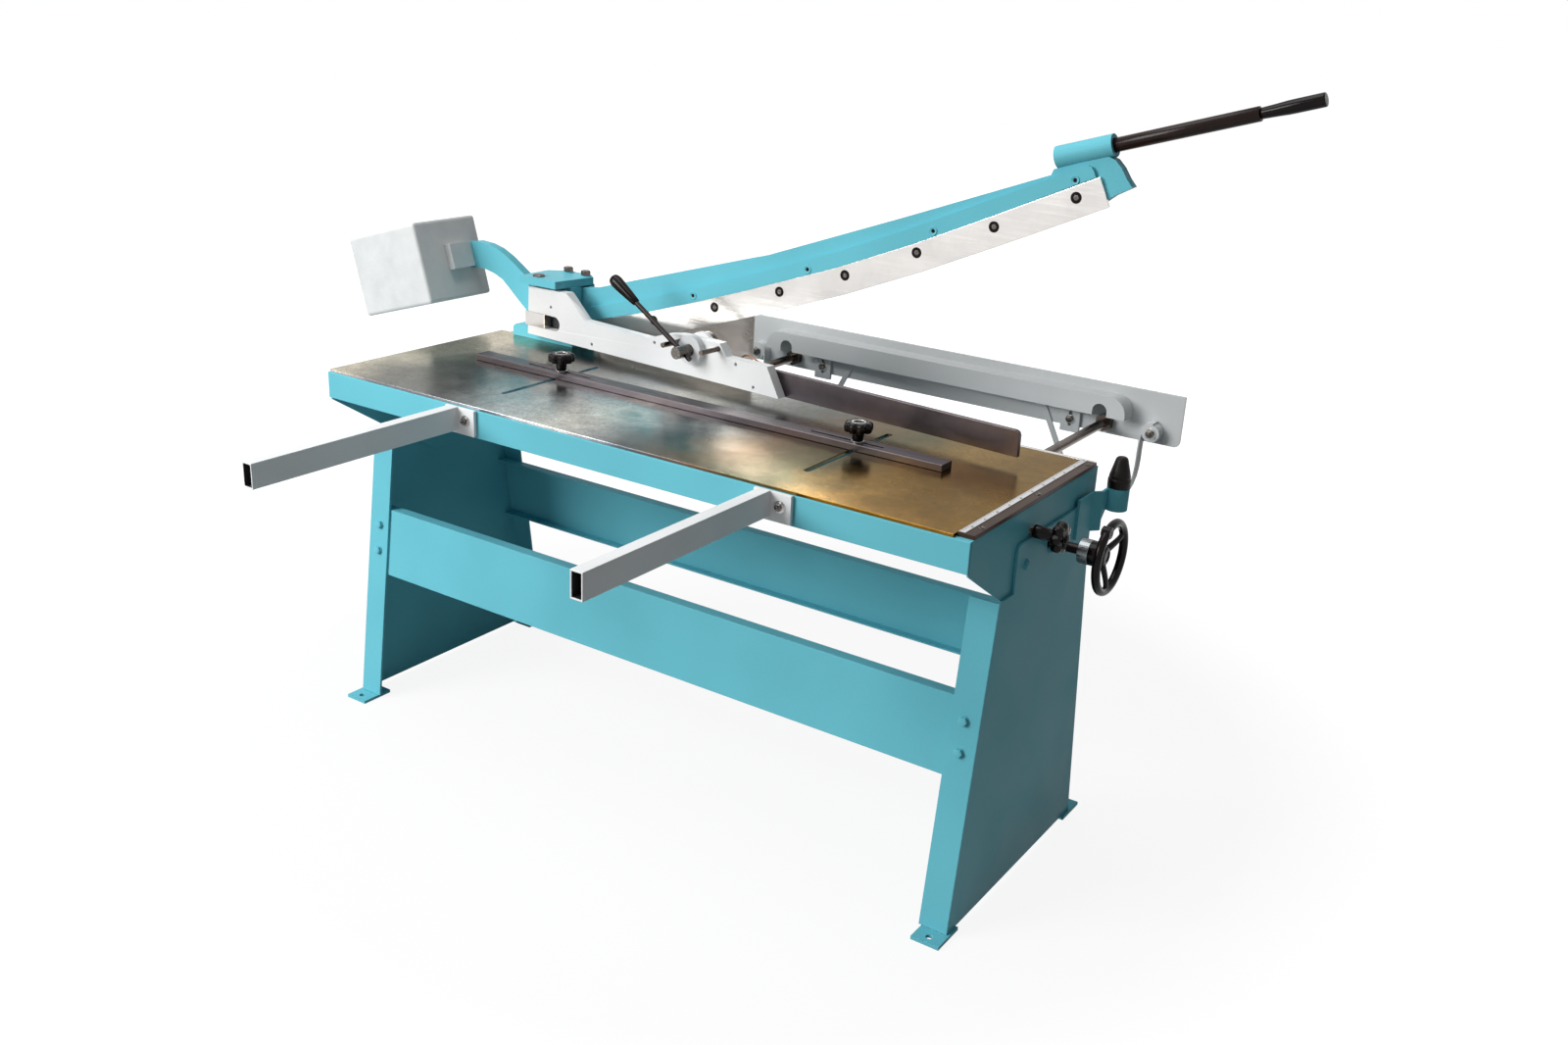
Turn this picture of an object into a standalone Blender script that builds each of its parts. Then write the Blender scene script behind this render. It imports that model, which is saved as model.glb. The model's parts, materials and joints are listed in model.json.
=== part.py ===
"""Lever-operated sheet-metal shear (guillotine arm shear) on a two-leg stand.

Metres, +Z up, +X to the right of the operator, -Y towards the operator.
Everything is built with X = 0 at the middle of the table, Y = 0 in the cutting plane and
Z = 0 on the floor. The last step moves the whole machine, so that the origin ends up on the
floor under the middle of its bounding box.
Rest pose: knife arm raised, hold-down beam released and swung out, rear gauge drawn back.
"""
import math

import bmesh
import bpy
from mathutils import Vector

GAP = 0.0003

# Table
TABLE_TOP = 0.850
TABLE_HALF_LENGTH = 0.8255
TABLE_FRONT = -0.5735
SHEET = 0.005
PLATE_THICKNESS = 0.0062
FLANGE_TOP = TABLE_TOP - PLATE_THICKNESS - GAP
RAIL_BOTTOM = 0.782
SLOT_X = (-0.393, 0.407)
SLOT_Y = (-0.455, -0.124)
SLOT_WIDTH = 0.014
LOWER_KNIFE_DEPTH = 0.0122
LOWER_KNIFE_HEIGHT = 0.050

# Stand
LEG_SHEET = 0.0055
LEG_CLEARANCE = 0.001
LEG_OUTER = TABLE_HALF_LENGTH + LEG_CLEARANCE + LEG_SHEET
LEG_FLANGE = 0.062
FOOT_THICKNESS = 0.0077

# Knife arm
PIVOT_X = -0.600
PIVOT_Z = 0.925
PIN_RADIUS = 0.0125
HUB_RADIUS = 0.070
HEAD_TOP = 0.9997
CHEEK_FRONT = -0.030
CHEEK_BACK = 0.0065
REAR_CHEEK_FRONT = 0.036
REAR_CHEEK_THICKNESS = 0.016
BLADE_FRONT = 0.0005
BLADE_BACK = 0.0085
ARM_FRONT = 0.0088
ARM_BACK = 0.0335
BLADE_HEIGHT = 0.0605
STRIP_HEIGHT = 0.033
BLADE_EDGE = [
    (-0.500, 0.0155),
    (-0.345, 0.0583),
    (-0.200, 0.1050),
    (-0.049, 0.1568),
    (0.194, 0.2450),
    (0.380, 0.3220),
    (0.557, 0.4023),
    (0.778, 0.5055),
]
HANDLE_TILT = math.radians(17.0)
HANDLE_RADIUS = 0.0140

# Counterweight
WEIGHT_TILT = math.radians(16.5)
WEIGHT_CORNER = (-0.987, 1.119)
WEIGHT_LENGTH = 0.254
WEIGHT_HEIGHT = 0.206
WEIGHT_Y = (-0.153, 0.062)

# Hold-down beam, built along its own length and swung out about the slide block
BEAM_CORNER = (-0.6874, -0.0575)
BEAM_SWING = math.radians(4.8)
BEAM_THICKNESS = 0.025
LEVER_S = 0.560
LEVER_Z = 0.936
LEVER_ANGLE = math.radians(149.0)

# Rear gauge
GAUGE_FACE = 0.520
GAUGE_X = (-0.4055, 0.822)
GAUGE_Z = (0.7555, 0.8786)
ROD_X = (-0.2515, 0.637)
ROD_Z = 0.784
ROD_RADIUS = 0.011
ROD_FRONT = -0.270
BRACE_SPLAY = math.radians(26.7)
BRACE_LENGTH = 0.160
BRACE_WIDTH = 0.014
SHAFT_Y = -0.230
SHAFT_Z = 0.7455
SHAFT_RADIUS = 0.010
COLLAR_X = (LEG_OUTER + 0.0650, LEG_OUTER + 0.0855)
COLLAR_RADIUS = 0.0248
WHEEL_X = LEG_OUTER + 0.123
WHEEL_RADIUS = 0.0755
RIM_RADIUS = 0.0085
LOCK_Y = -0.315
LOCK_Z = 0.7925
SPACER_X = (-0.360, 0.759)
SPACER_Z = 0.785
SPACER_RADIUS = 0.021
SPACER_DEPTH = 0.030


def clear_scene():
    """Remove every object so the script builds the machine from nothing."""
    for obj in list(bpy.data.objects):
        bpy.data.objects.remove(obj, do_unlink=True)


def material(name, colour, metallic, roughness):
    """Return a Principled material, made once per name."""
    mat = bpy.data.materials.get(name)
    if mat is None:
        mat = bpy.data.materials.new(name)
        mat.use_nodes = True
    shader = mat.node_tree.nodes["Principled BSDF"]
    shader.inputs["Base Color"].default_value = (colour[0], colour[1], colour[2], 1.0)
    shader.inputs["Metallic"].default_value = metallic
    shader.inputs["Roughness"].default_value = roughness
    return mat


def teal():
    return material("teal_enamel", (0.12, 0.50, 0.56), 0.0, 0.38)


def steel():
    return material("ground_steel", (0.56, 0.55, 0.53), 1.0, 0.28)


def dark_steel():
    return material("dark_steel", (0.16, 0.14, 0.13), 1.0, 0.35)


def white_enamel():
    return material("white_enamel", (0.78, 0.80, 0.80), 0.0, 0.42)


def grey_enamel():
    return material("grey_enamel", (0.46, 0.48, 0.49), 0.0, 0.45)


def black_plastic():
    return material("black_plastic", (0.018, 0.016, 0.016), 0.0, 0.32)


def smoked():
    return material("smoked_plastic", (0.10, 0.085, 0.075), 0.0, 0.12)


def rubber():
    return material("rubber", (0.020, 0.018, 0.018), 0.0, 0.55)


def add_prism(bm, outline, axis, low, high):
    """Extrude a 2-D outline along X (y, z), Y (x, z) or Z (x, y)."""

    def place(a, b, depth):
        if axis == "X":
            return Vector((depth, a, b))
        if axis == "Y":
            return Vector((a, depth, b))
        return Vector((a, b, depth))

    near = [bm.verts.new(place(a, b, low)) for a, b in outline]
    far = [bm.verts.new(place(a, b, high)) for a, b in outline]
    faces = [bm.faces.new(near), bm.faces.new(far)]
    count = len(outline)
    for i in range(count):
        j = (i + 1) % count
        faces.append(bm.faces.new((near[i], near[j], far[j], far[i])))
    bmesh.ops.recalc_face_normals(bm, faces=faces)


def add_box(bm, low, high):
    """Axis-aligned box between two corners."""
    outline = [(low[0], low[1]), (high[0], low[1]), (high[0], high[1]), (low[0], high[1])]
    add_prism(bm, outline, "Z", low[2], high[2])


def add_cylinder(bm, start, end, radius, segments=32, end_radius=None):
    """Closed cylinder, or a cone frustum when end_radius is given."""
    start = Vector(start)
    end = Vector(end)
    tip = radius if end_radius is None else end_radius
    direction = (end - start).normalized()
    helper = Vector((0, 0, 1)) if abs(direction.z) < 0.9 else Vector((1, 0, 0))
    side = direction.cross(helper).normalized()
    other = direction.cross(side)
    rings = []
    for centre, size in ((start, radius), (end, tip)):
        ring = []
        for i in range(segments):
            turn = 2 * math.pi * i / segments
            ring.append(bm.verts.new(centre + (side * math.cos(turn) + other * math.sin(turn)) * size))
        rings.append(ring)
    faces = [bm.faces.new(rings[0]), bm.faces.new(rings[1])]
    for i in range(segments):
        j = (i + 1) % segments
        faces.append(bm.faces.new((rings[0][i], rings[0][j], rings[1][j], rings[1][i])))
    bmesh.ops.recalc_face_normals(bm, faces=faces)


def add_profile(bm, start, direction, profile, segments=32):
    """Solid of revolution: profile is (distance along the axis, radius)."""
    start = Vector(start)
    direction = Vector(direction).normalized()
    helper = Vector((0, 0, 1)) if abs(direction.z) < 0.9 else Vector((1, 0, 0))
    side = direction.cross(helper).normalized()
    other = direction.cross(side)
    rings = []
    for along, size in profile:
        ring = []
        for i in range(segments):
            turn = 2 * math.pi * i / segments
            spoke = side * math.cos(turn) + other * math.sin(turn)
            ring.append(bm.verts.new(start + direction * along + spoke * size))
        rings.append(ring)
    faces = [bm.faces.new(rings[0]), bm.faces.new(rings[-1])]
    for a, b in zip(rings[:-1], rings[1:]):
        for i in range(segments):
            j = (i + 1) % segments
            faces.append(bm.faces.new((a[i], a[j], b[j], b[i])))
    bmesh.ops.recalc_face_normals(bm, faces=faces)


def arc(centre, radius, start_deg, end_deg, steps):
    """Points on a circular arc, both ends included."""
    points = []
    for i in range(steps + 1):
        turn = math.radians(start_deg + (end_deg - start_deg) * i / steps)
        points.append((centre[0] + radius * math.cos(turn), centre[1] + radius * math.sin(turn)))
    return points


def stadium(low, high, middle, width, along_second=False):
    """Round-ended slot outline between low and high, of the given width."""
    half = width / 2
    points = arc((high - half, middle), half, -90, 90, 8) + arc((low + half, middle), half, 90, 270, 8)
    if along_second:
        return [(b, a) for a, b in points]
    return points


def lobed(centre, radius, lobes, dip, steps=48):
    """Outline of a lobed hand knob."""
    points = []
    for i in range(steps):
        turn = 2 * math.pi * i / steps
        size = radius - dip * (0.5 - 0.5 * math.cos(lobes * turn))
        points.append((centre[0] + size * math.cos(turn), centre[1] + size * math.sin(turn)))
    return points


def new_object(name, bm, origin, mat=None, smooth_angle=30.0):
    """Turn a bmesh in world coordinates into an object with its origin at origin."""
    origin = Vector(origin)
    for vert in bm.verts:
        vert.co -= origin
    mesh = bpy.data.meshes.new(name)
    bm.to_mesh(mesh)
    bm.free()
    obj = bpy.data.objects.new(name, mesh)
    obj.location = origin
    bpy.context.scene.collection.objects.link(obj)
    if mat is not None:
        mesh.materials.append(mat)
        mesh.shade_smooth()
        mesh.set_sharp_from_angle(angle=math.radians(smooth_angle))
    return obj


def combine(obj, operation, bm):
    """Hidden helper joined to, or cut from, obj by an exact Boolean."""
    helper = new_object(f"helper_{operation.lower()}_{obj.name}", bm, (0, 0, 0))
    helper.hide_render = True
    helper.display_type = "WIRE"
    modifier = obj.modifiers.new(f"{operation.lower()}_{len(obj.modifiers)}", "BOOLEAN")
    modifier.operation = operation
    modifier.solver = "EXACT"
    modifier.object = helper
    return obj


def join(obj, bm):
    return combine(obj, "UNION", bm)


def cut(obj, bm):
    return combine(obj, "DIFFERENCE", bm)


def leg_front(z):
    """Y of a leg's front face at height z."""
    return -0.5211 + 0.1232 * z


def leg_rear(z):
    """Y of a leg's rear face at height z."""
    return 0.070 - 0.1368 * z


def build_stand():
    """Two folded sheet legs, four foot pads and two channel stretchers."""
    for side, sign in (("left", -1), ("right", 1)):
        panel = bmesh.new()
        outline = [
            (leg_front(0.008), 0.008),
            (leg_rear(0.008), 0.008),
            (leg_rear(0.780), 0.780),
            (-0.365, 0.780),
            (-0.3735, 0.7765),
            (-0.377, 0.768),
            (-0.377, 0.684),
            (leg_front(0.684), 0.684),
        ]
        inner = LEG_OUTER - LEG_SHEET
        add_prism(panel, outline, "X", sign * LEG_OUTER, sign * inner)
        leg = new_object(f"{side}_leg", panel, (sign * LEG_OUTER, leg_front(0.008), 0.008), teal())
        for low, high, edge, step in (
            (0.0084, 0.6836, leg_front, LEG_SHEET),
            (0.0084, 0.5800, leg_rear, -LEG_SHEET),
        ):
            proud = -0.05 * step
            flange = bmesh.new()
            face = [
                (edge(low) + proud, low),
                (edge(high) + proud, high),
                (edge(high) + step, high),
                (edge(low) + step, low),
            ]
            add_prism(flange, face, "X", sign * (LEG_OUTER - LEG_FLANGE), sign * (LEG_OUTER - 0.001))
            join(leg, flange)
        if sign > 0:
            holes = bmesh.new()
            near = LEG_OUTER - 0.022
            far = near + 0.04
            add_cylinder(holes, (near, SHAFT_Y, SHAFT_Z), (far, SHAFT_Y, SHAFT_Z), SHAFT_RADIUS + 0.0025)
            cut(leg, holes)
        for place, low, high, hole in (("front", -0.5635, -0.481, -0.544), ("rear", 0.028, 0.1125, 0.093)):
            pad = bmesh.new()
            inside = LEG_OUTER - 0.0564
            outside = LEG_OUTER + 0.0058
            anchor = sign * (LEG_OUTER - 0.025)
            add_box(
                pad,
                (min(sign * inside, sign * outside), low, 0.0),
                (max(sign * inside, sign * outside), high, FOOT_THICKNESS),
            )
            name = f"{side}_{place}_foot"
            foot = new_object(name, pad, (anchor, hole, 0.0), teal())
            bore = bmesh.new()
            add_cylinder(bore, (anchor, hole, -0.01), (anchor, hole, 0.02), 0.007, 20)
            cut(foot, bore)

    reach = LEG_OUTER - LEG_SHEET - 0.001
    for name, edge, low, high, step in (
        ("front_stretcher", leg_front, 0.322, 0.4855, 1),
        ("rear_stretcher", leg_rear, 0.340, 0.500, -1),
    ):
        near = step * (LEG_SHEET + GAP)
        skin = step * (LEG_SHEET + GAP + 0.004)
        deep = step * (LEG_SHEET + GAP + 0.028)
        outline = [
            (edge(low) + near, low),
            (edge(high) + near, high),
            (edge(high) + deep, high),
            (edge(high) + deep, high - 0.004),
            (edge(high - 0.004) + skin, high - 0.004),
            (edge(low + 0.004) + skin, low + 0.004),
            (edge(low) + deep, low + 0.004),
            (edge(low) + deep, low),
        ]
        channel = bmesh.new()
        add_prism(channel, outline, "X", -reach, reach)
        new_object(name, channel, (0, edge(low), low), teal())


def end_plate_outline():
    """Side outline of the table's ends, behind its front rail, as (y, z)."""
    seam = TABLE_FRONT + SHEET + GAP
    return [
        (seam, RAIL_BOTTOM - 0.005),
        (-0.4255, 0.686),
        (-0.293, 0.608),
        (-0.262, 0.588),
        (-0.250, 0.585),
        (-0.003, 0.585),
        (-0.003, FLANGE_TOP),
        (seam, FLANGE_TOP),
    ]


def table_slots(low, high):
    """Cutter for the two slots of the front gauge."""
    slots = bmesh.new()
    for x in SLOT_X:
        add_prism(slots, stadium(SLOT_Y[0], SLOT_Y[1], x, SLOT_WIDTH, True), "Z", low, high)
    return slots


def build_table():
    """Folded table frame, front rail, rear beam, top plate, lower knife, squaring bar and rule."""
    seam = TABLE_FRONT + SHEET + GAP
    skin = bmesh.new()
    add_box(
        skin,
        (-TABLE_HALF_LENGTH, seam, FLANGE_TOP - SHEET),
        (TABLE_HALF_LENGTH, -0.0125, FLANGE_TOP),
    )
    frame = new_object("table_frame", skin, (0, seam, FLANGE_TOP), teal())
    for sign in (-1, 1):
        plate = bmesh.new()
        add_prism(
            plate,
            end_plate_outline(),
            "X",
            sign * TABLE_HALF_LENGTH,
            sign * (TABLE_HALF_LENGTH - SHEET),
        )
        join(frame, plate)
    holes = table_slots(0.80, 0.90)
    near = TABLE_HALF_LENGTH - 0.0255
    add_cylinder(holes, (near, SHAFT_Y, SHAFT_Z), (near + 0.05, SHAFT_Y, SHAFT_Z), SHAFT_RADIUS + 0.0025)
    add_cylinder(holes, (near, LOCK_Y, LOCK_Z), (near + 0.05, LOCK_Y, LOCK_Z), 0.0085)
    cut(frame, holes)

    rail = bmesh.new()
    add_box(
        rail,
        (-TABLE_HALF_LENGTH, TABLE_FRONT, RAIL_BOTTOM),
        (TABLE_HALF_LENGTH, TABLE_FRONT + SHEET, FLANGE_TOP),
    )
    new_object("table_front_rail", rail, (0, TABLE_FRONT, RAIL_BOTTOM), teal())

    beam = bmesh.new()
    reach = TABLE_HALF_LENGTH - SHEET - GAP
    add_box(beam, (-reach, -0.0425, 0.8005), (reach, -0.0125, FLANGE_TOP - SHEET - GAP))
    new_object("table_rear_beam", beam, (0, -0.0425, 0.8005), teal())

    top = bmesh.new()
    add_box(
        top,
        (-TABLE_HALF_LENGTH + 0.0055, -0.5707, TABLE_TOP - PLATE_THICKNESS),
        (TABLE_HALF_LENGTH - 0.0355, -LOWER_KNIFE_DEPTH - GAP, TABLE_TOP),
    )
    plate = new_object("table_plate", top, (0, -0.5707, TABLE_TOP), steel())
    cut(plate, table_slots(0.80, 0.90))

    knife = bmesh.new()
    add_box(
        knife,
        (-0.555, -LOWER_KNIFE_DEPTH, TABLE_TOP - LOWER_KNIFE_HEIGHT),
        (TABLE_HALF_LENGTH - SHEET - 0.0005, 0.0, TABLE_TOP),
    )
    new_object("lower_knife", knife, (0, 0, TABLE_TOP), steel())

    square = bmesh.new()
    inside = TABLE_HALF_LENGTH - 0.0342
    lift = TABLE_TOP + 0.0016
    add_box(square, (inside, -0.559, TABLE_TOP - PLATE_THICKNESS), (TABLE_HALF_LENGTH, -0.0128, lift))
    new_object("squaring_bar", square, (TABLE_HALF_LENGTH - 0.0175, -0.559, TABLE_TOP), dark_steel())
    scale = bmesh.new()
    inside = TABLE_HALF_LENGTH - 0.033
    add_box(scale, (inside, -0.556, lift + GAP), (inside + 0.013, -0.016, lift + GAP + 0.0008))
    new_object("rule_strip", scale, (inside + 0.0065, -0.556, lift + GAP), white_enamel())


def build_support_arms():
    """Square-tube sheet supports bolted to the front rail."""
    for side, centre in (("left", -0.4137), ("right", 0.3989)):
        tube = bmesh.new()
        add_box(tube, (centre - 0.0134, -1.1077, 0.7936), (centre + 0.0134, -0.5800, 0.8449))
        arm = new_object(f"{side}_support_arm", tube, (centre, -0.5742, 0.820), steel())
        plate = bmesh.new()
        add_box(plate, (centre - 0.0241, -0.5820, 0.7860), (centre + 0.0607, -0.5739, FLANGE_TOP))
        join(arm, plate)
        bore = bmesh.new()
        add_box(bore, (centre - 0.0104, -1.20, 0.7966), (centre + 0.0104, -0.5900, 0.8419))
        cut(arm, bore)


def build_front_gauge():
    """Slotted stop bar with two clamping knobs."""
    bar = bmesh.new()
    add_box(bar, (-0.645, -0.281, TABLE_TOP + GAP), (0.6125, -0.239, 0.865))
    gauge = new_object("front_gauge_bar", bar, (0, -0.260, TABLE_TOP + GAP), dark_steel())
    slots = bmesh.new()
    add_prism(slots, stadium(-0.494, -0.306, -0.260, 0.0095), "Z", 0.84, 0.88)
    add_prism(slots, stadium(0.295, 0.468, -0.260, 0.0095), "Z", 0.84, 0.88)
    cut(gauge, slots)
    for side, x in zip(("left", "right"), SLOT_X):
        stud = bmesh.new()
        nut = FLANGE_TOP - SHEET - 0.0105
        rise = 0.8655 - nut
        profile = [
            (0.0, 0.011),
            (0.0095, 0.011),
            (0.0096, 0.004),
            (rise - 0.0001, 0.004),
            (rise, 0.0135),
            (rise + 0.0020, 0.0135),
            (rise + 0.0025, 0.0115),
            (rise + 0.0225, 0.0125),
        ]
        add_profile(stud, (x, -0.260, nut), (0, 0, 1), profile, 24)
        knob = new_object(f"{side}_gauge_knob", stud, (x, -0.260, 0.8655), black_plastic())
        head = bmesh.new()
        add_prism(head, lobed((x, -0.260), 0.0305, 8, 0.0045, 64), "Z", 0.886, 0.908)
        join(knob, head)


def edge_offset(points, distance):
    """Shift a left-to-right line of points upwards by distance, square to the line."""
    shifted = []
    for i, (x, z) in enumerate(points):
        before = points[max(i - 1, 0)]
        after = points[min(i + 1, len(points) - 1)]
        run = after[0] - before[0]
        rise = after[1] - before[1]
        length = math.hypot(run, rise)
        shifted.append((x - rise / length * distance, z + run / length * distance))
    return shifted


def raise_to_table(points):
    """Heights above the table turned into heights above the floor."""
    return [(x, z + TABLE_TOP) for x, z in points]


def build_knife_arm():
    """Arm plate, curved upper knife, clamping strip, socket, handle and grip."""
    edge = raise_to_table(BLADE_EDGE)
    blade = bmesh.new()
    top = edge_offset(edge, BLADE_HEIGHT)
    left = [(-0.5335, TABLE_TOP + 0.0690), (-0.5335, TABLE_TOP + 0.0320)]
    add_prism(blade, left + edge + top[::-1], "Y", BLADE_FRONT, BLADE_BACK)
    new_object("upper_knife", blade, (PIVOT_X, BLADE_BACK, PIVOT_Z), steel())

    strip = bmesh.new()
    low = edge_offset(edge, BLADE_HEIGHT + GAP)
    high = edge_offset(edge, BLADE_HEIGHT + STRIP_HEIGHT)
    low[-1] = (0.7440, low[-1][1] - 0.0022)
    cap = [(0.7395, TABLE_TOP + 0.5690), (0.7330, TABLE_TOP + 0.5770), (0.7230, TABLE_TOP + 0.5790)]
    start = [(-0.5335, TABLE_TOP + 0.1040), (-0.5335, TABLE_TOP + 0.0694)]
    outline = start + low + cap + high[:-1][::-1]
    add_prism(strip, outline, "Y", BLADE_FRONT, BLADE_BACK)
    new_object("knife_clamp_strip", strip, (PIVOT_X, BLADE_BACK, PIVOT_Z), teal())

    under = edge_offset(edge[1:-1], 0.003)
    outline = [(-0.662, 0.968), (-0.662, 0.8926)]
    outline += arc((PIVOT_X, PIVOT_Z), HUB_RADIUS, 208, 305, 12)
    outline += under
    outline += [
        (0.7350, TABLE_TOP + 0.4890),
        (0.7810, TABLE_TOP + 0.5265),
        (0.8170, TABLE_TOP + 0.5465),
        (0.8040, TABLE_TOP + 0.5610),
        (0.7910, TABLE_TOP + 0.5800),
        (0.7760, TABLE_TOP + 0.5945),
        (0.7600, TABLE_TOP + 0.6000),
        (0.6520, TABLE_TOP + 0.5640),
        (0.6480, TABLE_TOP + 0.5525),
        (0.3250, TABLE_TOP + 0.4290),
        (-0.0179, TABLE_TOP + 0.3015),
        (-0.0778, TABLE_TOP + 0.2843),
        (-0.5306, TABLE_TOP + 0.1485),
    ]
    outline += arc((PIVOT_X, PIVOT_Z), HUB_RADIUS, 80, 142, 6)
    plate = bmesh.new()
    add_prism(plate, outline, "Y", ARM_FRONT, ARM_BACK)
    arm = new_object("knife_arm", plate, (PIVOT_X, ARM_FRONT, PIVOT_Z), teal())
    along = Vector((math.cos(HANDLE_TILT), 0, math.sin(HANDLE_TILT)))
    centre_y = (ARM_FRONT + ARM_BACK) / 2
    mouth = Vector((0.768, centre_y, TABLE_TOP + 0.6205))
    socket = bmesh.new()
    add_cylinder(socket, mouth - along * 0.120, mouth, 0.0225, 36)
    join(arm, socket)
    bores = bmesh.new()
    add_cylinder(bores, mouth - along * 0.075, mouth + along * 0.02, HANDLE_RADIUS + GAP, 36)
    add_cylinder(bores, (PIVOT_X, -0.05, PIVOT_Z), (PIVOT_X, 0.08, PIVOT_Z), PIN_RADIUS + GAP, 36)
    cut(arm, bores)

    tube = bmesh.new()
    profile = [(-0.070, 0.0137), (0.279, 0.0137)]
    add_profile(tube, mouth, along, profile, 36)
    new_object("handle_tube", tube, mouth, dark_steel())
    grip = bmesh.new()
    profile = [
        (0.2795, 0.0105),
        (0.283, 0.0135),
        (0.300, 0.0150),
        (0.340, 0.0158),
        (0.385, 0.0150),
        (0.395, 0.0125),
    ]
    add_profile(grip, mouth, along, profile, 36)
    new_object("handle_grip", grip, mouth + along * 0.2795, black_plastic())


def build_counterweight():
    """Swan-neck arm, bracket block and weight."""
    neck = bmesh.new()
    outline = [
        (-0.6624, 0.966),
        (-0.680, 0.958),
        (-0.715, 0.950),
        (-0.735, 0.962),
        (-0.748, 0.980),
        (-0.7609, 1.0011),
        (-0.7877, 1.0185),
        (-0.818, 1.0369),
        (-0.8519, 1.0523),
        (-0.8864, 1.0603),
        (-0.9248, 1.0627),
        (-0.9660, 1.0560),
        (-0.9470, 0.9905),
        (-0.9271, 0.9945),
        (-0.8989, 0.9950),
        (-0.8642, 0.9873),
        (-0.8367, 0.9760),
        (-0.8164, 0.9599),
        (-0.7894, 0.9373),
        (-0.7574, 0.9116),
        (-0.720, 0.886),
        (-0.6624, 0.870),
    ]
    add_prism(neck, outline, "Y", ARM_FRONT, ARM_BACK)
    new_object("counterweight_neck", neck, (PIVOT_X, ARM_FRONT, PIVOT_Z), teal())

    along = Vector((math.cos(WEIGHT_TILT), 0, math.sin(WEIGHT_TILT)))
    up = Vector((-math.sin(WEIGHT_TILT), 0, math.cos(WEIGHT_TILT)))
    corner = Vector((WEIGHT_CORNER[0], 0, WEIGHT_CORNER[1]))

    def section(low, high, bottom, top):
        points = [corner + along * a + up * b for a, b in ((low, bottom), (high, bottom), (high, top), (low, top))]
        return [(p.x, p.z) for p in points]

    block = bmesh.new()
    add_prism(block, section(GAP, 0.020, -0.131, -0.066), "Y", -0.065, ARM_FRONT - GAP)
    new_object("counterweight_bracket", block, corner - up * 0.098, grey_enamel())

    weight = bmesh.new()
    add_prism(weight, section(-WEIGHT_LENGTH, 0, -WEIGHT_HEIGHT, 0), "Y", WEIGHT_Y[0], WEIGHT_Y[1])
    body = new_object("counterweight", weight, corner - up * 0.098, grey_enamel(), 60.0)
    bevel = body.modifiers.new("rounded_edges", "BEVEL")
    bevel.width = 0.008
    bevel.segments = 3


def build_pivot_head():
    """Pedestal with its front cheek, rear cheek, smoked guard, pivot pin and cap plate."""
    base = bmesh.new()
    add_box(base, (-0.790, -LOWER_KNIFE_DEPTH, 0.8005), (-0.560, 0.052, TABLE_TOP))
    pedestal = new_object("pivot_pedestal", base, (PIVOT_X, 0, TABLE_TOP), teal())
    cheek = bmesh.new()
    outline = [
        (-0.764, TABLE_TOP - 0.002),
        (-0.764, 0.872),
        (-0.757, 0.879),
        (-0.715, 0.879),
        (-0.690, 0.930),
        (-0.690, HEAD_TOP),
        (-0.565, HEAD_TOP),
        (-0.565, TABLE_TOP - 0.002),
    ]
    add_prism(cheek, outline, "Y", -LOWER_KNIFE_DEPTH + 0.002, CHEEK_BACK)
    join(pedestal, cheek)
    guide = bmesh.new()
    outline[0] = (-0.764, TABLE_TOP + GAP)
    outline[-1] = (-0.565, TABLE_TOP + GAP)
    add_prism(guide, outline, "Y", CHEEK_FRONT, -LOWER_KNIFE_DEPTH + 0.003)
    join(pedestal, guide)
    bore = bmesh.new()
    add_cylinder(bore, (PIVOT_X, -0.06, PIVOT_Z), (PIVOT_X, 0.03, PIVOT_Z), PIN_RADIUS + GAP, 36)
    cut(pedestal, bore)

    rear = bmesh.new()
    outline = [
        (-0.690, TABLE_TOP + GAP),
        (-0.690, HEAD_TOP),
        (-0.562, HEAD_TOP),
        (-0.562, TABLE_TOP + GAP),
    ]
    add_prism(rear, outline, "Y", REAR_CHEEK_FRONT, REAR_CHEEK_FRONT + REAR_CHEEK_THICKNESS)
    support = new_object("pivot_rear_cheek", rear, (PIVOT_X, REAR_CHEEK_FRONT, PIVOT_Z), teal())
    bore = bmesh.new()
    add_cylinder(bore, (PIVOT_X, 0.02, PIVOT_Z), (PIVOT_X, 0.07, PIVOT_Z), PIN_RADIUS + GAP, 36)
    cut(support, bore)

    shield = bmesh.new()
    outline = [
        (-0.685, 0.872),
        (-0.640, 0.872),
        (-0.625, 0.890),
        (-0.575, 0.890),
        (-0.560, 0.872),
        (-0.075, 0.872),
        (-0.075, 1.050),
        (-0.500, 0.965),
        (-0.685, 0.965),
    ]
    back = REAR_CHEEK_FRONT + REAR_CHEEK_THICKNESS + GAP
    add_prism(shield, outline, "Y", back, back + 0.004)
    new_object("rear_guard", shield, (-0.560, back, 0.872), smoked())

    pin = bmesh.new()
    add_cylinder(pin, (PIVOT_X, -0.0295, PIVOT_Z), (PIVOT_X, 0.0517, PIVOT_Z), PIN_RADIUS, 36)
    new_object("pivot_pin", pin, (PIVOT_X, 0, PIVOT_Z), steel())

    cap = bmesh.new()
    outline = [
        (-0.697, -0.0765),
        (-0.579, -0.0747),
        (-0.5565, 0.0415),
        (-0.576, 0.0576),
        (-0.657, 0.0590),
        (-0.695, 0.0270),
    ]
    add_prism(cap, outline, "Z", 1.000, 1.019)
    new_object("pivot_cap_plate", cap, (-0.630, -0.010, 1.000), teal())


def beam_point(s, n, z):
    """World point from distance along the beam, depth behind its face, and height."""
    cos = math.cos(BEAM_SWING)
    sin = math.sin(BEAM_SWING)
    return Vector((BEAM_CORNER[0] + s * cos + n * sin, BEAM_CORNER[1] - s * sin + n * cos, z))


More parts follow.
